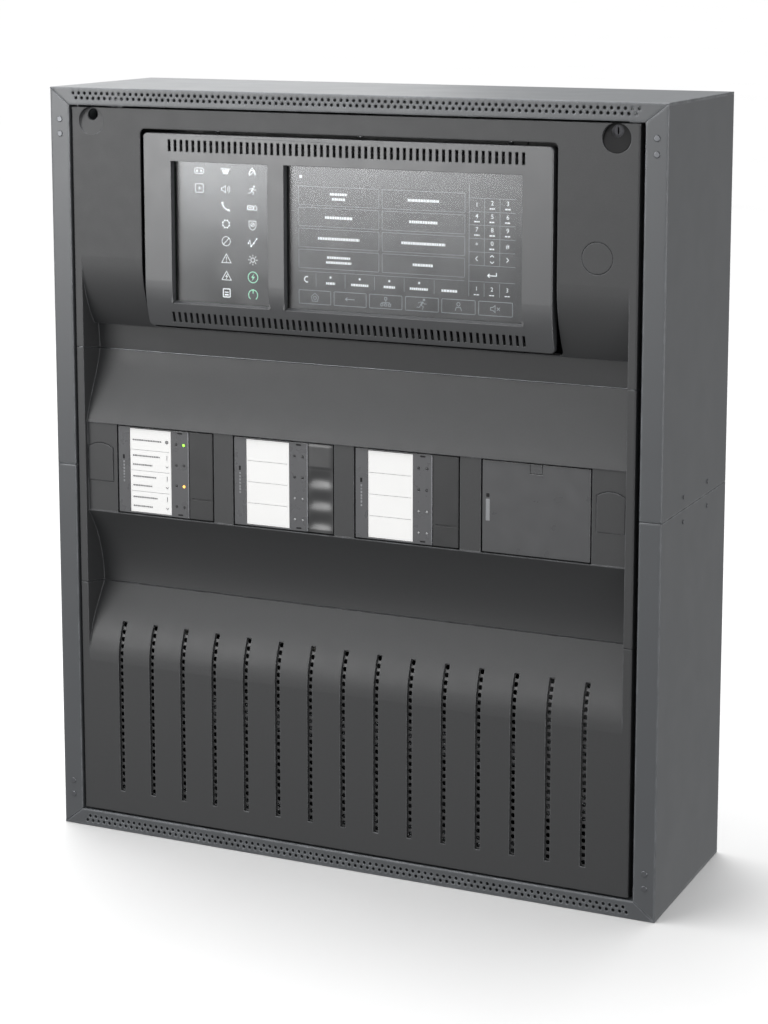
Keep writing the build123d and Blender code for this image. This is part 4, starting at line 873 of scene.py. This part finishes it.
def ridged_cover():
    """The middle module's terminal cover, with finger ridges down its lower part."""
    low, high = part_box("module_2_terminal_cover")
    bm = bmesh.new()
    across, down = 14, 72
    front = []
    for j in range(down + 1):
        drop = j / down
        row = []
        for i in range(across + 1):
            side = i / across
            edge = min(1.0, min(side, 1 - side) * 9.0)
            wave = 0.5 - 0.5 * math.cos(2 * math.pi * (drop - 0.27) / 0.245)
            groove = (0.5 + 1.3 * wave) if drop > 0.27 else 0.0
            bowl_line = 1.0 - (2 * side - 1) ** 2 * 0.55
            depth = groove * bowl_line * edge + 0.5 * (1 - edge) + 0.25 * (drop < 0.02 or drop > 0.985)
            row.append(bm.verts.new((low.x + side * (high.x - low.x), low.y + depth * MM,
                                     high.z - drop * (high.z - low.z))))
        front.append(row)
    back = [[bm.verts.new((v.co.x, high.y, v.co.z)) for v in row] for row in (front[0], front[-1])]
    for j in range(down):
        for i in range(across):
            bm.faces.new((front[j][i], front[j + 1][i], front[j + 1][i + 1], front[j][i + 1]))
    for i in range(across):
        bm.faces.new((front[0][i], front[0][i + 1], back[0][i + 1], back[0][i]))
        bm.faces.new((front[-1][i + 1], front[-1][i], back[1][i], back[1][i + 1]))
        bm.faces.new((back[0][i], back[0][i + 1], back[1][i + 1], back[1][i]))
    for i in (0, across):
        bm.faces.new([front[j][i] for j in range(down + 1)] + [back[1][i], back[0][i]])
    shown = piece("module_2_terminal_ridges", bm, "housing", terminal_gloss,
                  smooth=True)
    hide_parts("module_2_terminal_cover")


draw_labels()
draw_lamps()
module_trim()
ridged_cover()


# ---------------------------------------------------------------- lock

def lock_pocket_shade():
    """Near-black dish laid in the sloping pocket round the lock, open where the barrel is: painted shade in
    the recess.
    """
    low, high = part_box("lock_barrel")
    lock_x, lock_z = (low.x + high.x) / 2, (low.z + high.z) / 2
    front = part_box("upper_cover")[0].y
    pocket_depth, pocket_height, rim_below_lock = 5 * MM, 27 * MM, 18.9 * MM
    slope = pocket_depth / pocket_height
    bm = bmesh.new()
    count = 48
    rings = []
    loops = ((0.0, 5.45, 0.05), (0.0, 5.9, 0.25), (5.9, 12.3, 0.25), (5.9, 12.8, 0.05))
    for centre_fall, radius, lift in loops:
        ring = []
        for k in range(count):
            angle = 2 * math.pi * k / count
            z = lock_z - centre_fall * MM + radius * MM * math.sin(angle)
            depth = slope * (z - lock_z + rim_below_lock)
            spot = (lock_x + radius * MM * math.cos(angle), front + depth - lift * MM, z)
            ring.append(bm.verts.new(spot))
        rings.append(ring)
    for inner, outer in zip(rings, rings[1:]):
        for k in range(count):
            bm.faces.new((inner[k], inner[(k + 1) % count], outer[(k + 1) % count], outer[k]))
    behind = Vector((0, 0.1 * MM, 0))
    rear = [[bm.verts.new(v.co + behind) for v in ring] for ring in (rings[0], rings[-1])]
    for k in range(count):
        after = (k + 1) % count
        bm.faces.new((rings[0][k], rear[0][k], rear[0][after], rings[0][after]))
        bm.faces.new((rings[-1][k], rings[-1][after], rear[1][after], rear[1][k]))
        bm.faces.new((rear[0][k], rear[1][k], rear[1][after], rear[0][after]))
    piece("lock_pocket_shade", bm, "door", dark_print_and_shade)


lock_pocket_shade()


# ---------------------------------------------------------------- inside the housing

def battery_detail():
    """Lid rims, vents, blank rating plates and terminal boots."""
    lids, plates, boots_red, boots_black = (bmesh.new() for _ in range(4))
    for name in ("battery_left", "battery_right"):
        low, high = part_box(name)
        for k in range(3):
            x = low.x + (high.x - low.x) * (0.3 + 0.2 * k)
            lathe(lids, [(0, -0.0005), (0.009, -0.0005), (0.009, 0.0007), (0.008, 0.0012), (0.003, 0.0013),
                         (0.0025, 0.0008), (0, 0.0008)], (x, (low.y + high.y) / 2, high.z), (0, 0, 1), 24)
        slab(plates, (low.x + 0.028, low.y - 0.0004, low.z + 0.020),
             (high.x - 0.028, low.y + 0.0006, low.z + 0.052), 0.0002)
        for k in range(5):
            z = low.z + 0.108 + 0.006 * k
            slab(lids, (low.x + 0.012, low.y - 0.0006, z),
                 (high.x - 0.012, low.y + 0.0006, z + 0.0018), 0.0004)
    posts_low, posts_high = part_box("battery_terminals")
    for k, x in enumerate((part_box("battery_lead_black")[0].x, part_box("battery_lead_red")[0].x)):
        slab(boots_red if k else boots_black, (x - 0.0052, posts_low.y + 0.0008, posts_high.z - 0.0012),
             (x + 0.0092, posts_high.y - 0.0008, posts_high.z + 0.009), 0.002)
    piece("battery_lid_detail", lids, "housing", finishes["battery_case"], smooth=True)
    piece("battery_plates", plates, "housing", sleeve_grey, smooth=True)
    piece("battery_boot_red", boots_red, "housing", cap_red, smooth=True)
    piece("battery_boot_black", boots_black, "housing", finishes["black_cable"], smooth=True)


def supply_detail():
    """Cover screws, terminal screws with ribs between them, rating plate and fuse of the power supply."""
    screws, plates, blocks, fuses = (bmesh.new() for _ in range(4))
    low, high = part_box("power_supply")
    front = low.y + 0.014
    for x in (low.x + 0.006, high.x - 0.006):
        for z in (low.z + 0.006, (low.z + high.z) / 2, high.z - 0.006):
            screw(screws, (x, front, z), 0.0028)
    for k in range(7):
        x = low.x + 0.014 + 0.0105 * k
        screw(screws, (x, low.y, high.z - 0.0455), 0.003)
        slab(blocks, (x + 0.0046, low.y - 0.0006, high.z - 0.0575),
             (x + 0.0058, low.y + 0.003, high.z - 0.042), 0.0004)
    slab(plates, (low.x + 0.014, front - 0.0003, high.z - 0.030),
         (high.x - 0.014, front + 0.0004, high.z - 0.008), 0.0002)
    slab(fuses, (high.x - 0.022, front - 0.006, high.z - 0.0585),
         (high.x - 0.006, front + 0.001, high.z - 0.0425), 0.001)
    piece("supply_screws", screws, "housing", finishes["pin_steel"], smooth=True)
    piece("supply_terminal_ribs", blocks, "housing", terminal_green, smooth=True)
    piece("supply_plate", plates, "housing", sleeve_grey, smooth=True)
    piece("supply_fuse", fuses, "housing", finishes["connector_plastic"], smooth=True)


def frame_detail():
    """Screws that hold the rails, ears and module flanges."""
    screws = bmesh.new()
    rails_low, rails_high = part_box("mounting_rails")
    flange_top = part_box("module_1_body")[1].z
    case_low, case_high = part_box("controller_case")
    plane = rails_low.y
    for x in (rails_low.x + 0.012, rails_high.x - 0.012):
        for z in (rails_high.z - 0.006, case_low.z + 0.006, flange_top - 0.0035, rails_low.z + 0.006):
            screw(screws, (x, plane, z), 0.0034)
    for index in range(3):
        low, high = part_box(f"module_{index + 1}_body")
        for x in (low.x + 0.010, high.x - 0.010):
            for z in (low.z + 0.005, high.z - 0.005):
                screw(screws, (x, plane - 0.003, z), 0.0028)
    for x in (case_low.x + 0.045, (case_low.x + case_high.x) / 2, case_high.x - 0.045):
        for z in (case_high.z - 0.005, case_low.z + 0.005):
            screw(screws, (x, plane - 0.002, z), 0.0028)
    piece("frame_screws", screws, "housing", finishes["pin_steel"], smooth=True)


def board_detail():
    """Chips, capacitors and pluggable terminals on the backplane, in the gaps that stay in view."""
    chips, cans, sockets = (bmesh.new() for _ in range(3))
    low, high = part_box("bus_board")
    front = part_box("bus_connectors")[1].y
    for k in range(26):
        x = low.x + 0.020 + (high.x - low.x - 0.040) * k / 25 + dice.uniform(-0.002, 0.002)
        for z in (high.z - 0.027, low.z + 0.030):
            kind = dice.random()
            if kind < 0.45:
                slab(chips, (x - 0.004, front - 0.0016, z - 0.003),
                     (x + 0.004, front + 0.0002, z + 0.003), 0.0003)
            elif kind < 0.75:
                height = dice.uniform(0.005, 0.009)
                lathe(cans, [(0, -0.0002), (0.0027, -0.0002), (0.0029, 0.0006), (0.0029, height - 0.0005),
                             (0.0025, height), (0, height)], (x, front, z), steps=18)
            else:
                slab(sockets, (x - 0.005, front - 0.008, z - 0.004),
                     (x + 0.005, front + 0.0002, z + 0.004), 0.0006)
    piece("bus_chips", chips, "housing", finishes["connector_plastic"], smooth=True)
    piece("bus_capacitors", cans, "housing", capacitor_blue, smooth=True)
    piece("bus_sockets", sockets, "housing", terminal_green, smooth=True)


battery_detail()
supply_detail()
frame_detail()
board_detail()


# ---------------------------------------------------------------- floor, light, camera

def make_floor():
    """Pale floor that takes shadows, left out of bounced light and of reflections."""
    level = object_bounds()[0].z - 0.0005
    look = Look("floor")
    look.set(
        base_color=look.blend(look.noise(0.6, 3.0), (0.86, 0.86, 0.86), (0.90, 0.90, 0.90)),
        roughness=look.remap(look.noise(0.2, 2.0), 0.3, 0.7, 0.55, 0.7),
    )
    bm = bmesh.new()
    rings = []
    steps = 48
    for radius in (0.0, 3.0, 8.0, 20.0, 60.0):
        angles = [2 * math.pi * k / steps for k in range(steps if radius else 1)]
        rings.append([bm.verts.new((radius * math.cos(a), radius * math.sin(a), level)) for a in angles])
    for k in range(steps):
        after = (k + 1) % steps
        bm.faces.new((rings[0][0], rings[1][k], rings[1][after]))
        for inner, outer in zip(rings[1:], rings[2:]):
            bm.faces.new((inner[k], outer[k], outer[after], inner[after]))
    mesh = bpy.data.meshes.new("floor")
    bm.to_mesh(mesh)
    bm.free()
    mesh.materials.append(look.material)
    floor = bpy.data.objects.new("floor", mesh)
    bpy.context.scene.collection.objects.link(floor)
    floor.visible_diffuse = False
    floor.visible_glossy = False


def softbox(name, spot, aim, width, height, radiance):
    """A rectangular light turned to face a point; radiance is the brightness of its surface."""
    light = bpy.data.lights.new(name, "AREA")
    light.shape = "RECTANGLE"
    light.size = width
    light.size_y = height
    light.energy = radiance * math.pi * width * height
    obj = bpy.data.objects.new(name, light)
    bpy.context.scene.collection.objects.link(obj)
    obj.location = spot
    obj.visible_camera = False
    obj.rotation_euler = (Vector(aim) - Vector(spot)).to_track_quat("-Z", "Y").to_euler()
    return obj


def make_lights():
    """Even studio light; the front and right softboxes only show as reflections."""
    world = bpy.data.worlds.new("studio")
    world.use_nodes = True
    world.node_tree.nodes["Background"].inputs["Color"].default_value = (1.0, 1.0, 1.0, 1.0)
    world.node_tree.nodes["Background"].inputs["Strength"].default_value = 0.46
    bpy.context.scene.world = world
    sheen = softbox("left_front", (-1.4, -2.35, 0.5), (0.0, -0.2, 0.1), 1.6, 0.9, 11.0)
    sheen.visible_diffuse = False
    softbox("rear_high", (-1.9, 2.6, 1.3), (0.0, 0.0, 0.35), 1.6, 1.0, 1.8)
    softbox("overhead", (-0.6, -0.75, 1.35), (0.0, -0.15, 0.3), 1.2, 0.8, 4.4)
    strip = softbox("right_strip", (2.3, -0.9, -0.1), (0.3, -0.2, 0.0), 1.5, 2.2, 7.0)
    strip.visible_diffuse = False
    data = bpy.data.lights.new("sky_panel", "SUN")
    data.energy = 2.4
    data.angle = math.radians(50)
    sky = bpy.data.objects.new("sky_panel", data)
    sky.rotation_euler = (math.radians(-14), math.radians(-12), 0)
    bpy.context.scene.collection.objects.link(sky)


def make_camera():
    """Three-quarter view from the right, a little above the object and tilted slightly down."""
    data = bpy.data.cameras.new("camera")
    camera = bpy.data.objects.new("camera", data)
    bpy.context.scene.collection.objects.link(camera)
    low = cad_box[0]
    front_foot = Vector((0.0, low.y, low.z))
    tilt_down, turn = 9.04, 24.66
    camera.location = front_foot + Vector((0.9162, -1.9057, 0.8325))
    camera.rotation_euler = (math.radians(90 - tilt_down), 0.0, math.radians(turn))
    data.sensor_width = 36.0
    data.lens = 84.6
    data.shift_y = -0.17
    data.clip_end = 200.0
    bpy.context.scene.camera = camera


make_floor()
make_lights()
make_camera()
bpy.context.scene.view_settings.view_transform = "Standard"
